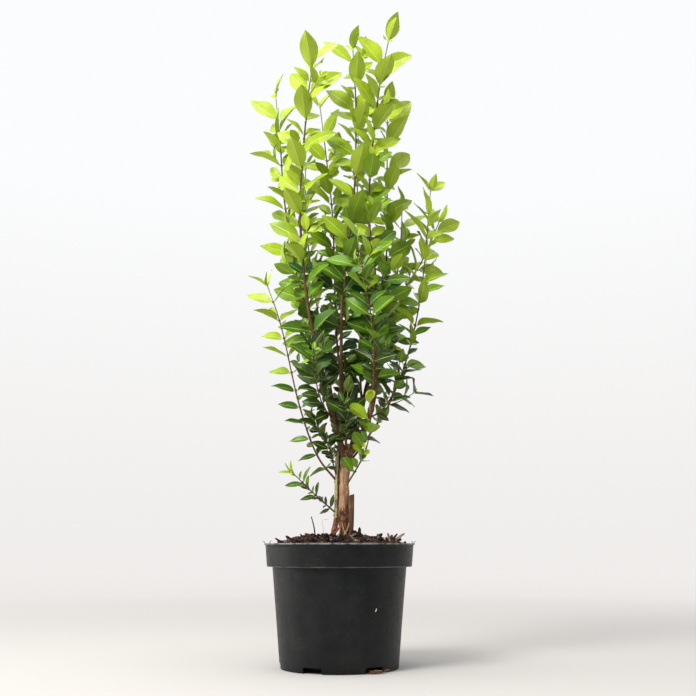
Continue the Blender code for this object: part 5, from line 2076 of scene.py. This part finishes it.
# The chips that stand on end or are large: place, length, width, depth, tilt, bearing and finish
STANDING_CHIPS = (
    ((0.084, -0.033, 0.18), 0.03, 0.0085, 0.003, 36.0, 8.0, 2),
    ((0.0815, -0.038, 0.179), 0.024, 0.003, 0.0014, 38.0, 6.0, 5),
    ((0.077, -0.036, 0.18), 0.022, 0.007, 0.0026, 58.0, 12.0, 0),
    ((0.072, -0.033, 0.18), 0.02, 0.006, 0.0026, 76.0, 170.0, 2),
    ((0.029, -0.018, 0.188), 0.022, 0.0052, 0.0034, 80.0, 10.0, 4),
    ((0.0225, -0.02, 0.186), 0.016, 0.012, 0.007, 66.0, 150.0, 4),
    ((0.027, -0.023, 0.185), 0.014, 0.012, 0.007, 64.0, 40.0, 1),
    ((0.033, -0.023, 0.1825), 0.018, 0.011, 0.006, 30.0, 190.0, 4),
    ((0.041, -0.026, 0.1815), 0.018, 0.01, 0.005, 22.0, 170.0, 0),
    ((-0.024, -0.024, 0.183), 0.021, 0.012, 0.006, 28.0, 10.0, 0),
    ((-0.042, -0.03, 0.182), 0.022, 0.011, 0.005, 32.0, 160.0, 0),
    ((-0.056, -0.03, 0.1805), 0.022, 0.01, 0.005, 26.0, 15.0, 4),
    ((-0.07, -0.03, 0.179), 0.02, 0.007, 0.004, 30.0, 170.0, 1),
    ((0.006, -0.032, 0.1815), 0.014, 0.006, 0.003, 22.0, 20.0, 5),
    ((0.02, -0.038, 0.1805), 0.012, 0.005, 0.0024, 28.0, 150.0, 5),
    ((-0.008, -0.034, 0.181), 0.016, 0.0034, 0.0018, 26.0, 200.0, 5),
    ((0.056, -0.03, 0.1795), 0.016, 0.009, 0.0045, 20.0, 30.0, 1),
    ((-0.052, -0.028, 0.1815), 0.02, 0.004, 0.0022, 48.0, 196.0, 4),
    ((-0.046, -0.026, 0.183), 0.018, 0.003, 0.0018, 58.0, 200.0, 1),
    ((-0.033, -0.024, 0.184), 0.022, 0.0036, 0.0022, 30.0, 184.0, 1),
    ((-0.086, -0.026, 0.177), 0.02, 0.0045, 0.0022, 26.0, 190.0, 1),
    ((-0.02, -0.02, 0.183), 0.018, 0.01, 0.005, 22.0, 200.0, 0),
    ((-0.013, -0.018, 0.184), 0.013, 0.008, 0.004, 36.0, 20.0, 0),
    ((-0.03, -0.03, 0.18), 0.021, 0.01, 0.0036, 14.0, 30.0, 0),
    ((-0.052, -0.035, 0.1775), 0.024, 0.009, 0.0034, 10.0, -28.0, 1),
    ((0.072, -0.03, 0.1745), 0.023, 0.011, 0.0036, 8.0, 60.0, 0),
    ((0.038, -0.056, 0.1765), 0.02, 0.009, 0.0034, 16.0, -10.0, 2),
    ((-0.006, -0.052, 0.179), 0.019, 0.008, 0.0032, 18.0, 8.0, 2),
    ((-0.072, -0.005, 0.1735), 0.022, 0.01, 0.0034, 10.0, 80.0, 1),
)

# A thin stick, a tall fibre, three roots that run out from the stems and three that come down
# them: the points that each passes, its radius at both ends, its material number, rings and sides
STRANDS = (
    (((-0.034, -0.025, 0.176), (-0.0365, -0.0245, 0.196), (-0.0408, -0.0235, 0.212)), (0.0012, 0.0007),
     2, 14, 7),
    (((-0.023, -0.016, 0.178), (-0.0235, -0.016, 0.195), (-0.025, -0.015, 0.206),
      (-0.016, -0.013, 0.2085)), (0.0003, 0.0002), 0, 24, 5),
    (((-0.001, -0.002, 0.196), (-0.008, -0.007, 0.1875), (-0.016, -0.011, 0.1825),
      (-0.025, -0.012, 0.1785)), (0.0017, 0.00102), 1, 20, 9),
    (((0.012, -0.006, 0.185), (0.019, -0.013, 0.181), (0.028, -0.016, 0.1775)), (0.0014, 0.00084), 1, 20, 9),
    (((0.006, 0.008, 0.185), (0.002, 0.017, 0.181), (-0.006, 0.024, 0.1775)), (0.0015, 0.0009), 1, 20, 9),
    (((0.0158, -0.008, 0.209), (0.0128, -0.0108, 0.197), (0.007, -0.0142, 0.186), (0.003, -0.018, 0.178)),
     (0.0011, 0.00165), 3, 24, 9),
    (((0.004, -0.007, 0.203), (0.0062, -0.0116, 0.193), (0.012, -0.0146, 0.184),
      (0.0165, -0.0185, 0.1785)), (0.001, 0.0015), 3, 24, 9),
    (((0.001, -0.006, 0.2), (0.0, -0.0102, 0.189), (-0.0035, -0.015, 0.179)), (0.0009, 0.00135), 3, 24, 9),
)
# Crumbs that rest on the lip, each with the way that it leans
LIP_CRUMBS = ((-0.1086, -0.004, -1.0), (-0.1074, -0.02, -1.0), (-0.099, -0.044, 1.0), (0.1086, -0.003, 1.0),
              (0.106, -0.026, -1.0))


@dataclass
class Mulch:
    """Bark mulch: a crumbly bed, chips lying on it, fibres, a stick and roots."""

    slope: tuple = ((0.0, 0.1777), (0.030, 0.1777), (0.060, 0.1735), (0.085, 0.1680), (0.1035, 0.1640))
    wall: float = 0.1030
    segments: int = 120
    bed_rings: int = 34
    bed_rough: float = 0.0013
    chip_count: int = 620
    chip_length: tuple[float, float, float] = (0.006, 0.027, 0.011)
    chip_width: Ends = (0.28, 0.66)
    chip_depth: Ends = (0.14, 0.34)
    chip_corners: tuple[int, int] = (6, 9)
    corner_jitter: Ends = (-0.3, 0.3)
    corner_reach: Ends = (0.78, 1.0)
    squareness: float = 0.7
    chip_bend: Ends = (-0.12, 0.12)
    lower_share: Ends = (0.72, 0.9)
    upper_share: Ends = (0.6, 0.85)
    waist: float = 0.05
    roughness: Ends = (-0.10, 0.10)
    thickest: float = 0.0046
    splinter_every: int = 4
    splinter_stretch: float = 1.5
    splinter_width: Ends = (0.08, 0.18)
    splinter_depth: Ends = (0.06, 0.14)
    stem_share: float = 0.3
    lift_share: float = 0.3
    wall_share: float = 0.42
    wall_gap: float = 0.0015
    wall_rise: float = 0.0042
    wall_rise_from: float = 0.055
    wall_rise_over: float = 0.030
    layer: Ends = (-0.0006, 0.0030)
    upper_layer: float = 0.0025
    steep_share: float = 0.26
    steep_tilt: Ends = (0.4, 0.9)
    flat_tilt: float = 0.22
    chip_roll: float = 0.25
    chip_sharp: float = 38.0
    upright: float = 63.0
    upright_top: float = 0.1975
    top_level: float = 0.1885
    fibre_count: int = 130
    fibre_radii: Ends = (0.00034, 0.00016)
    fibre_gap: float = 0.012
    fibre_length: Ends = (0.006, 0.020)
    fibre_turn: Ends = (-0.6, 0.6)
    fibre_lift: Ends = (0.0008, 0.0046)
    fibre_marks: int = 4
    on_end_count: int = 54
    on_end_ring: Ends = (0.030, 0.094)
    on_end_lift: float = 0.0030
    on_end_length: Ends = (0.010, 0.021)
    on_end_width: Ends = (0.10, 0.22)
    on_end_depth: float = 0.0013
    on_end_tilt: Ends = (25.0, 62.0)
    on_end_finishes: tuple = (0, 1, 1, 2, 4, 4)
    crumb_radii: Ends = (0.0005, 0.0002)
    chip_seed: int = 61
    fibre_seed: int = 62
    feet: tuple = ((0.0096, 0.0, 0.0125), (-0.0120, -0.0050, 0.0050))
    under: tuple = ((0.070, 0.0022), (0.0826, 0.018), (0.0954, 0.1432), (0.1030, 0.1432))

    PALE, ROOT, DARK, BARK = range(4)

    def level(self, radius: float) -> float:
        """The mulch's level.

        Args:
            radius: The distance from the middle.

        Returns:
            The height there.
        """
        for (near, high), (far, low) in zip(self.slope, self.slope[1:]):
            if radius <= far:
                return between((high, low), (radius - near) / (far - near))
        return self.slope[-1][1]

    def build(self) -> None:
        """Builds the bed, the chips and the fibres."""
        self.build_bed()
        self.build_chips()
        self.build_fibres()

    def build_bed(self) -> None:
        """Builds the closed body that fills the pot, its top rough."""
        turns = [segment * math.tau / self.segments for segment in range(self.segments)]
        points = [polar(radius, turn, height) for radius, height in self.under for turn in turns]
        for ring in range(self.bed_rings):
            radius = self.wall * (1.0 - ring / self.bed_rings)
            for turn in turns:
                rough = noise.noise(polar(radius, turn) * 160.0)
                rough += 0.5 * noise.noise(polar(radius, turn, 0.1) * 420.0)
                points.append(polar(radius, turn, self.level(radius) + self.bed_rough * (rough - 0.3)))
        draft = Draft()
        draft.add((points, tube_faces(len(self.under) + self.bed_rings, self.segments)))
        attach(draft.to_object("mulch_bed", [CRUMB.material()]), "bark_mulch", "soil")

    def chip(self, rng: random.Random, length: float, width: float, depth: float) -> Body:
        """A broken flake of bark round the origin, its length along X and its depth along Z.

        Args:
            rng: Random numbers.
            length: Its length.
            width: Its width.
            depth: Its thickness.

        Returns:
            Its points and faces.
        """
        corners = rng.randint(*self.chip_corners)
        outline = []
        for corner in range(corners):
            angle = (corner + rng.uniform(*self.corner_jitter)) * math.tau / corners
            squared = max(abs(math.cos(angle)), abs(math.sin(angle))) ** -self.squareness
            reach = squared * rng.uniform(*self.corner_reach)
            outline.append((math.cos(angle) * reach * length / 2, math.sin(angle) * reach * width / 2))
        bend = rng.uniform(*self.chip_bend) * length
        points = []
        for height, share in ((-0.5, rng.uniform(*self.lower_share)), (self.waist, 1.0),
                              (0.5, rng.uniform(*self.upper_share))):
            for x, y in outline:
                arch = bend * (2.0 * x / length) ** 2
                lift = depth * (height + rng.uniform(*self.roughness)) + arch
                points.append(Vector((x * share, y * share, lift)))
        return points, tube_faces(3, corners)

    @staticmethod
    def lay(draft: Draft, rng: random.Random, body: Body, turn: Matrix, spot: Vector, slot: int) -> None:
        """Puts a chip in its place, its grain marks along its length.

        Args:
            draft: The mesh that it goes into.
            rng: Random numbers.
            body: The chip round the origin.
            turn: How it is turned.
            spot: Where its middle lies.
            slot: Its material number.
        """
        shift = rng.uniform(0.0, 9.0)
        marks = [(point.y + shift, point.z, point.x + shift) for point in body[0]]
        draft.add(([turn @ point + spot for point in body[0]], body[1]), slot, marks)

    def is_by_stems(self, spot: Vector, margin: float) -> bool:
        """True where a spot lies on the foot of the trunk or of the second stem."""
        return any(math.hypot(spot.x - x, spot.y - y) < clear + margin for x, y, clear in self.feet)

    def build_chips(self) -> None:
        """Scatters the chips, most of them lying nearly flat, and stands a few up."""
        rng = random.Random(self.chip_seed)
        draw = rng.uniform
        draft = Draft()
        for number in range(self.chip_count):
            length = rng.triangular(*self.chip_length)
            splinter = number % self.splinter_every == 0
            length *= self.splinter_stretch if splinter else 1.0
            width = length * draw(*(self.splinter_width if splinter else self.chip_width))
            depth = length * draw(*(self.splinter_depth if splinter else self.chip_depth))
            depth = min(depth, self.thickest)
            room = self.wall - self.wall_gap - length * self.wall_share
            radius = room * math.sqrt(rng.random())
            spot = polar(radius, draw(0.0, math.tau))
            if self.is_by_stems(spot, length * self.stem_share):
                continue
            steep = rng.random() < self.steep_share
            tilt = draw(*self.steep_tilt) if steep else rng.gauss(0.0, self.flat_tilt)
            turn = (Matrix.Rotation(draw(0.0, math.tau), 3, "Z") @ Matrix.Rotation(tilt, 3, "Y")
                    @ Matrix.Rotation(rng.gauss(0.0, self.chip_roll), 3, "X"))
            body = self.chip(rng, length, width, depth)
            high = max((turn @ point).z for point in body[0])
            layer = draw(*self.layer) + (0.0 if number % 3 else self.upper_layer)
            near_wall = clamped((radius - self.wall_rise_from) / self.wall_rise_over)
            layer += self.wall_rise * near_wall * rng.random()
            spot.z = min(self.level(radius) + layer + depth * self.lift_share, self.top_level - high)
            slot = next(place for place, share in enumerate(CHIP_SHARES) if rng.random() <= share
                        or place == len(CHIP_SHARES) - 1)
            self.lay(draft, rng, body, turn, spot, slot)
        self.stand_chips(draft, rng)
        finishes = [finish.material() for finish in CHIP_FINISHES]
        attach(draft.to_object("mulch_chips", finishes, sharp=self.chip_sharp), "bark_mulch")

    def stand_chips(self, draft: Draft, rng: random.Random) -> None:
        """Adds the chips that stand on end or are large, each in its own place, and splinters.

        Args:
            draft: The mesh that they go into.
            rng: Random numbers.
        """
        draw = rng.uniform
        standing = list(STANDING_CHIPS)
        for _ in range(self.on_end_count):
            turn, away = draw(0.0, math.tau), draw(*self.on_end_ring)
            length = draw(*self.on_end_length)
            standing.append((polar(away, turn, self.level(away) + self.on_end_lift), length,
                             length * draw(*self.on_end_width), self.on_end_depth, draw(*self.on_end_tilt),
                             draw(0.0, 360.0), rng.choice(self.on_end_finishes)))
        for place, length, width, depth, tilt, bearing, slot in standing:
            body = self.chip(rng, length, width, depth)
            turn = (Matrix.Rotation(math.radians(bearing), 3, "Z")
                    @ Matrix.Rotation(math.radians(-tilt), 3, "Y"))
            high = max((turn @ point).z for point in body[0])
            top = self.top_level if tilt < self.upright else self.upright_top
            spot = Vector((place[0], place[1], min(place[2], top - high)))
            self.lay(draft, rng, body, turn, spot, slot)

    @staticmethod
    def strand(draft: Draft, marks: Sequence, radii: Ends, slot: int, count: int = 10,
               sides: int = 5) -> None:
        """Draws a fibre, root or stick along a smooth curve.

        Args:
            draft: The mesh that it goes into.
            marks: The points that it passes.
            radii: Its radius at each end.
            slot: Its material number.
            count: Rings along it.
            sides: Sides round it.
        """
        route, _ = smooth_route(marks, count)
        draft.add_tube(route, tapered(radii, count), sides, slot)

    def build_fibres(self) -> None:
        """Builds pale fibres, the thin dark stick, and the roots at the foot of the stems."""
        rng = random.Random(self.fibre_seed)
        draft = Draft()
        for _ in range(self.fibre_count):
            radius = (self.wall - self.fibre_gap) * math.sqrt(rng.random())
            spot = polar(radius, rng.uniform(0.0, math.tau))
            if self.is_by_stems(spot, 0.0):
                continue
            way = rng.uniform(0.0, math.tau)
            length = rng.uniform(*self.fibre_length)
            marks = []
            for _ in range(self.fibre_marks):
                way += rng.uniform(*self.fibre_turn)
                lift = self.level(math.hypot(spot.x, spot.y)) + rng.uniform(*self.fibre_lift)
                marks.append(Vector((spot.x, spot.y, lift)))
                spot = spot + polar(1.0, way) * (length / (self.fibre_marks - 1))
            self.strand(draft, marks, self.fibre_radii, self.PALE)
        for strand in STRANDS:
            self.strand(draft, *strand)
        for x, y, way in LIP_CRUMBS:
            marks = ((x, y, 0.1738), (x + 0.0014 * way, y - 0.0006, 0.1766),
                     (x + 0.0034 * way, y - 0.0010, 0.1752 + 0.0020 * rng.random()))
            self.strand(draft, marks, self.crumb_radii, self.DARK, 9)
        materials = [finish.material() for finish in (FIBRE, ROOT_STRAND, CHIP_FINISHES[4], TRUNK_BARK)]
        attach(draft.to_object("mulch_fibres", materials), "bark_mulch")


# Pot

@dataclass(frozen=True)
class PotPlastic:
    """Thin moulded plastic, charcoal black, with dried dust and dull scuffs."""

    base: Colour = shown(1, 5, 7)
    faded: Colour = shown(13, 18, 19)
    highlight_and_wear: Colour = shown(132, 138, 135)
    dust: Colour = shown(96, 91, 80)
    speck: Colour = shown(112, 108, 96)
    roughness: float = 0.42
    band_edge_highlight: tuple = (0.1402, 0.1408, 0.1416, 0.1424)
    lip_highlight_and_wear: Ends = (0.1712, 0.1722)

    def material(self) -> Material:
        """The plastic, with its dust, a pale line painted along the lip and the band's lower edge as
        highlight and wear, and fine grain.

        Returns:
            The material.
        """
        material, wiring, shader = new_material("moulded_black_plastic", Specular_IOR_Level=0.26)
        cloud = EFFECTS.place(wiring, Effect.MOTTLE, First=self.base, Second=self.faded, Size=17.0,
                              Low=0.40, High=0.68)
        dust = EFFECTS.place(wiring, Effect.DUST, Amount=0.22, Size=34.0, Sides=0.26)["Mask"]
        colour = wiring.blend(dust, cloud["Color"], self.dust)
        place = wiring.place()
        height = wiring.node("SeparateXYZ", {0: place})[2]
        # Painted highlight and wear: a pale line along the top of the lip and the lower edge of the band,
        # broken up by noise.
        edge_breakup = wiring.noise(place, 90.0, 4.0)["Fac"]
        start, full, fading, end = self.band_edge_highlight
        foot = wiring.times(wiring.stretch(height, start, full), wiring.stretch(height, end, fading))
        edge = wiring.maths("MAXIMUM", wiring.stretch(height, *self.lip_highlight_and_wear), wiring.times(foot, 0.5))
        edge = wiring.times(edge, wiring.stretch(edge_breakup, 0.28, 0.56))
        colour = wiring.blend(wiring.times(edge, 0.8), colour, self.highlight_and_wear)
        grit = wiring.stretch(wiring.cells(place, 300.0), 0.13, 0.07)
        grit = wiring.times(grit, wiring.stretch(wiring.noise(place, 26.0, 3.0)["Fac"], 0.50, 0.66))
        colour = wiring.blend(wiring.times(grit, 0.7), colour, self.speck)
        scuff = EFFECTS.place(wiring, Effect.MOTTLE, Size=120.0, Low=0.50, High=0.72)
        rough = wiring.maths("ADD", wiring.times(scuff["Mask"], 0.16), self.roughness)
        rough = wiring.maths("ADD", rough, wiring.times(dust, 0.5))
        wiring.fill(shader, {"Base Color": colour, "Roughness": rough})
        grains = EFFECTS.place(wiring, Effect.GRANULES, Size=1800.0, Coarse=0.8)
        raise_relief(wiring, shader, grains["Height"], 0.00012, 0.5)
        return material


@dataclass
class Pot:
    """The round nursery pot: one thin wall, a wider band, a rolled lip and drainage notches."""

    height: float = 0.174
    lip_radius: float = 0.110
    band_top: float = 0.1080
    band_foot: float = 0.1055
    band_level: float = 0.141
    body_top: float = 0.0975
    base_radius: float = 0.0850
    wall: float = 0.0018
    sway_depth: float = 0.00035
    segments: int = 144
    notch_count: int = 6
    notch_size: Mark = (0.024, 0.028, 0.0086)
    notch_first: float = math.radians(-55.5)
    notch_rounding: float = 0.0024
    slit: tuple = (math.radians(-129.5), 0.0975, 0.1328, (0.0022, 0.0090, 0.0014), 0.0)
    nick: tuple = (math.radians(-145.0), 0.110, 0.174, (0.0022, 0.0034, 0.0016), 0.0)
    sharp: float = 42.0
    root_seed: int = 71
    root_count: int = 24
    root_start: Ends = (-0.11, 0.13)
    root_drift: Ends = (0.02, 0.11)
    root_back: float = -0.04
    root_reach: Ends = (0.0006, 0.0080)
    root_height: Ends = (0.0006, 0.0052)
    root_inside: float = -0.008
    root_marks: int = 5
    root_rings: int = 22
    root_sides: int = 5
    root_radii: Ends = (0.00034, 0.00016)
    root_slots: tuple = (0, 2, 1, 2)
    flake_place: tuple = (math.radians(-57.0), 0.0929, 0.0840)
    flake_outline: tuple = ((-0.0012, -0.0022), (-0.0004, -0.0020), (0.0014, 0.0018), (0.0007, 0.0023))
    flake_depth: float = 0.0006

    def profile(self) -> list[Ends]:
        """The outline from the middle of the underside, up the outside and down the inside.

        Returns:
            Radius and height of each corner.
        """
        base, top, foot, wall = self.base_radius, self.height, self.band_level, self.wall
        outline = [(0.0, 0.0), (0.040, 0.0), (base - 0.0016, 0.0), (base - 0.0004, 0.0004),
                   (base + 0.00012, 0.0016)]
        outline += [(between((base, self.body_top), step / 15), foot * (step / 15))
                    for step in range(1, 15)]
        outline += [(self.body_top, foot - 0.0006), (self.body_top + 0.0008, foot),
                    (self.band_foot - 0.0006, foot), (self.band_foot, foot + 0.0006),
                    (self.band_foot + 0.0002, foot + 0.0030)]
        for step in range(1, 7):
            share = 0.15 + 0.85 * step / 7
            outline.append((between((self.band_foot, self.band_top), share),
                            between((foot, top - 0.0028), share)))
        outline += [(self.band_top, top - 0.0030), (self.band_top + 0.0005, top - 0.0025),
                    (self.lip_radius - 0.0008, top - 0.0024), (self.lip_radius, top - 0.0017),
                    (self.lip_radius, top - 0.0007), (self.lip_radius - 0.0007, top),
                    (self.band_top - 0.0010, top), (self.band_top - wall, top - 0.0008)]
        ledge = foot + wall
        return outline + [(self.band_foot - wall + 0.0001, ledge + 0.0006),
                          (self.band_foot - wall - 0.0006, ledge), (self.body_top - wall, ledge),
                          (base - wall + 0.0002, wall + 0.0006), (base - wall - 0.0006, wall), (0.0, wall)]

    def build(self) -> None:
        """Builds the pot, its marks and the roots at one of its notches."""
        rings = []
        points = []
        for radius, height in self.profile():
            count = self.segments if radius else 1
            rings.append(range(len(points), len(points) + count))
            for segment in range(count):
                turn = segment * math.tau / self.segments
                sway = self.sway(turn, height) if radius else 0.0
                points.append(polar(radius + sway, turn, height))
        faces = []
        for low, high in zip(rings, rings[1:]):
            for here in range(self.segments):
                there = (here + 1) % self.segments
                faces.append(tuple(dict.fromkeys((low[here % len(low)], low[there % len(low)],
                                                  high[there % len(high)], high[here % len(high)]))))
        draft = Draft()
        draft.add((points, faces))
        shell = draft.to_object("pot_shell", [PotPlastic().material()], sharp=self.sharp)
        notches = [(self.notch_first + number * math.tau / self.notch_count, self.base_radius,
                    self.notch_size[2] / 2 - GAP, self.notch_size, self.notch_rounding)
                   for number in range(self.notch_count)]
        for box in (*notches, self.slit, self.nick):
            self.cut(shell, self.cutter(*box))
        shell.data.shade_smooth()
        shell.data.set_sharp_from_angle(angle=math.radians(self.sharp))
        attach(shell, "moulded_black_plastic", "pot")
        self.build_roots()

    def sway(self, turn: float, height: float) -> float:
        """How far the thin wall stands out or in where the filling presses on it."""
        share = math.sin(math.pi * clamped(height / self.band_level))
        return -self.sway_depth * share * (1.0 + math.sin(3.0 * turn + 0.6)) * 0.5

    @staticmethod
    def cutter(bearing: float, radius: float, level: float, size: Mark,
               rounding: float) -> bpy.types.Object:
        """A box that cuts a notch in the foot, the slit under the band or the nick in the lip.

        Args:
            bearing: The angle that it stands at.
            radius: Its middle's distance from the pot's axis.
            level: The height of its middle.
            size: Its depth, width and height.
            rounding: The radius of its upper edges.

        Returns:
            The linked object.
        """
        turn = Matrix.Rotation(bearing, 4, "Z")
        outward = turn @ Vector((1.0, 0.0, 0.0))
        shape = bmesh.new()
        place = Matrix.Translation(turn @ Vector((radius, 0.0, level)))
        bmesh.ops.create_cube(shape, size=1.0, matrix=place @ turn @ Matrix.Diagonal((*size, 1.0)))
        if rounding:
            upper = [edge for edge in shape.edges if all(vert.co.z > level for vert in edge.verts)
                     and abs((edge.verts[0].co - edge.verts[1].co).normalized().dot(outward)) > 0.9]
            bmesh.ops.bevel(shape, geom=upper, offset=rounding, segments=4, profile=0.5, affect="EDGES")
        mesh = bpy.data.meshes.new("cutter")
        shape.to_mesh(mesh)
        shape.free()
        return link("cutter", mesh)

    @staticmethod
    def cut(obj: bpy.types.Object, cutter: bpy.types.Object) -> None:
        """Cuts one object out of another, and removes it.

        Args:
            obj: The object that stays.
            cutter: The one that is cut out of it.
        """
        step = obj.modifiers.new("cut", "BOOLEAN")
        step.operation = "DIFFERENCE"
        step.solver = "EXACT"
        step.object = cutter
        bpy.context.view_layer.update()
        evaluated = obj.evaluated_get(bpy.context.evaluated_depsgraph_get())
        result = bpy.data.meshes.new_from_object(evaluated)
        obj.modifiers.remove(step)
        obj.data = result
        bpy.data.objects.remove(cutter, do_unlink=True)

    def build_roots(self) -> None:
        """Builds the thin roots that poke out of the notch on the right, and a flake stuck to the wall."""
        rng = random.Random(self.root_seed)
        draft = Draft()
        for number in range(self.root_count):
            angle = self.notch_first + rng.uniform(*self.root_start)
            drift = rng.uniform(*self.root_drift)
            marks = []
            reaches = [rng.uniform(*self.root_reach) for _ in range(self.root_marks)]
            for reach in (self.root_inside, *reaches):
                marks.append(polar(self.base_radius + reach, angle, rng.uniform(*self.root_height)))
                angle += rng.uniform(self.root_back, drift)
            route, _ = smooth_route(marks, self.root_rings)
            slot = self.root_slots[number % len(self.root_slots)]
            draft.add_tube(route, tapered(self.root_radii, self.root_rings), self.root_sides, slot)
        bearing, radius, height = self.flake_place
        turn = Matrix.Rotation(bearing, 3, "Z")
        flake = [turn @ Vector((radius + lift, side, height + rise))
                 for lift in (-self.flake_depth, self.flake_depth) for side, rise in self.flake_outline]
        draft.add((flake, tube_faces(2, len(self.flake_outline))), 3)
        materials = [finish.material() for finish in (FIBRE, ROOT_STRAND, CHIP_FINISHES[1], PALE_FLAKE)]
        attach(draft.to_object("pot_roots", materials), "bark_mulch")


# Studio

@dataclass(frozen=True)
class PaleBackdrop:
    """Matt pale floor that runs into a wall that glows, its glow painted darker low down and towards the
    front.
    """

    floor: Colour = shown(196, 193, 190)
    wall_glow_low: Colour = shown(238, 235, 233)
    wall_glow_high: Colour = shown(251, 252, 253)
    front: Colour = shown(158, 160, 163)

    def material(self) -> Material:
        """The backdrop's material.

        Returns:
            The material.
        """
        material, wiring, shader = new_material("pale_backdrop", Roughness=0.9, Specular_IOR_Level=0.1,
                                                Emission_Strength=1.0)
        rightward, backward, height = wiring.node("SeparateXYZ", {0: wiring.place()})
        level = wiring.node("CombineXYZ", {0: rightward, 1: backward})[0]
        away = wiring.node("VectorMath", {0: level}, operation="LENGTH")[1]
        share = wiring.stretch(away, 0.5, 2.6)
        # Painted light: the wall glows instead of being lit, and its glow is painted darker low down and
        # towards the front.
        wall = wiring.blend(wiring.stretch(height, 0.0, 2.0), self.wall_glow_low, self.wall_glow_high)
        wall = wiring.blend(wiring.stretch(backward, -2.4, 1.2), self.front, wall)
        wiring.fill(shader, {"Base Color": wiring.blend(share, self.floor, BLACK),
                             "Emission Color": wiring.blend(share, BLACK, wall)})
        return material


@dataclass
class Studio:
    """A pale floor that curves up to a wall, soft lights, and the camera of the photograph."""

    wall: float = 3.4
    bend: float = 1.2
    top: float = 5.0
    inner_edge: float = 0.5
    bend_steps: int = 20
    turn_steps: int = 96
    camera_place: Mark = (0.0124, -1.4437, 0.167)
    camera_pitch: float = math.radians(11.7)
    lens: float = 50.0
    sensor: float = 36.0
    aim: Mark = (0.0, 0.0, 0.45)
    sky: Colour = (0.95, 0.97, 1.0, 1.0)
    sky_strength: float = 0.36
    lights: tuple = (
        ("key", (-1.7, -1.9, 2.2), 1.2, 100.0, (1.0, 0.985, 0.95)),
        ("side", (-2.6, 0.3, 0.4), 1.4, 26.0, (1.0, 0.99, 0.97)),
        ("fill", (2.2, -1.4, 1.5), 1.8, 4.5, (0.96, 0.98, 1.0)),
        ("over", (-0.2, -0.3, 2.9), 1.6, 42.0, (1.0, 0.99, 0.96)),
    )

    def build(self) -> None:
        """Builds the backdrop, the lights and the camera."""
        self.build_backdrop()
        self.build_sky()
        for name, place, size, power, colour in self.lights:
            self.build_light(name, place, size, power, colour)
        data = bpy.data.cameras.new("camera")
        data.lens = self.lens
        data.sensor_width = self.sensor
        camera = link("camera", data)
        camera.location = self.camera_place
        camera.rotation_euler = (math.pi / 2 + self.camera_pitch, 0.0, 0.0)
        bpy.context.scene.camera = camera
        bpy.context.scene.view_settings.view_transform = "Standard"

    def build_backdrop(self) -> None:
        """Builds the floor and the wall round it as one turned sheet."""
        start = self.wall - self.bend
        outline = [(self.inner_edge, 0.0), (start, 0.0)]
        for step in range(1, self.bend_steps + 1):
            angle = math.pi / 2 * step / self.bend_steps
            outline.append((start + self.bend * math.sin(angle), self.bend * (1.0 - math.cos(angle))))
        outline.append((self.wall, self.top))
        count = self.turn_steps
        points = [tuple(polar(radius, step * math.tau / count, z)) for radius, z in outline
                  for step in range(count)]
        mesh = bpy.data.meshes.new("backdrop")
        mesh.from_pydata(points, [], tube_faces(len(outline), count)[:-1])
        mesh.materials.append(PaleBackdrop().material())
        mesh.shade_smooth()
        link("backdrop", mesh)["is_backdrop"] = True

    def build_sky(self) -> None:
        """Lights the scene evenly from all sides."""
        world = bpy.data.worlds.new("soft_sky")
        world.use_nodes = True
        sky = world.node_tree.nodes["Background"]
        sky.inputs["Color"].default_value = self.sky
        sky.inputs["Strength"].default_value = self.sky_strength
        bpy.context.scene.world = world

    def build_light(self, name: str, place: Mark, size: float, power: float, colour: Mark) -> None:
        """Adds a large square light that faces the plant.

        Args:
            name: Its name.
            place: Where it stands.
            size: Its side.
            power: Its power in watts.
            colour: Its colour.
        """
        data = bpy.data.lights.new(name, "AREA")
        data.size = size
        data.energy = power
        data.color = colour
        light = link(name, data)
        light.location = place
        light.rotation_euler = (Vector(self.aim) - Vector(place)).to_track_quat("-Z", "Y").to_euler()


def corners(box: Sequence) -> list:
    """A box as plain lists of numbers."""
    return [[float(value) for value in corner] for corner in box]


def main() -> None:
    """Builds the studio, the pot, the mulch, the wood and the foliage."""
    logging.basicConfig(level=logging.INFO, format="%(message)s")
    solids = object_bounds()
    Studio().build()
    Pot().build()
    Mulch().build()
    TrunkDress().build()
    LimbDress().build()
    Foliage().build()
    {"solids": corners(solids), "dressed": corners(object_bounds())}


if __name__ == "__main__":
    main()
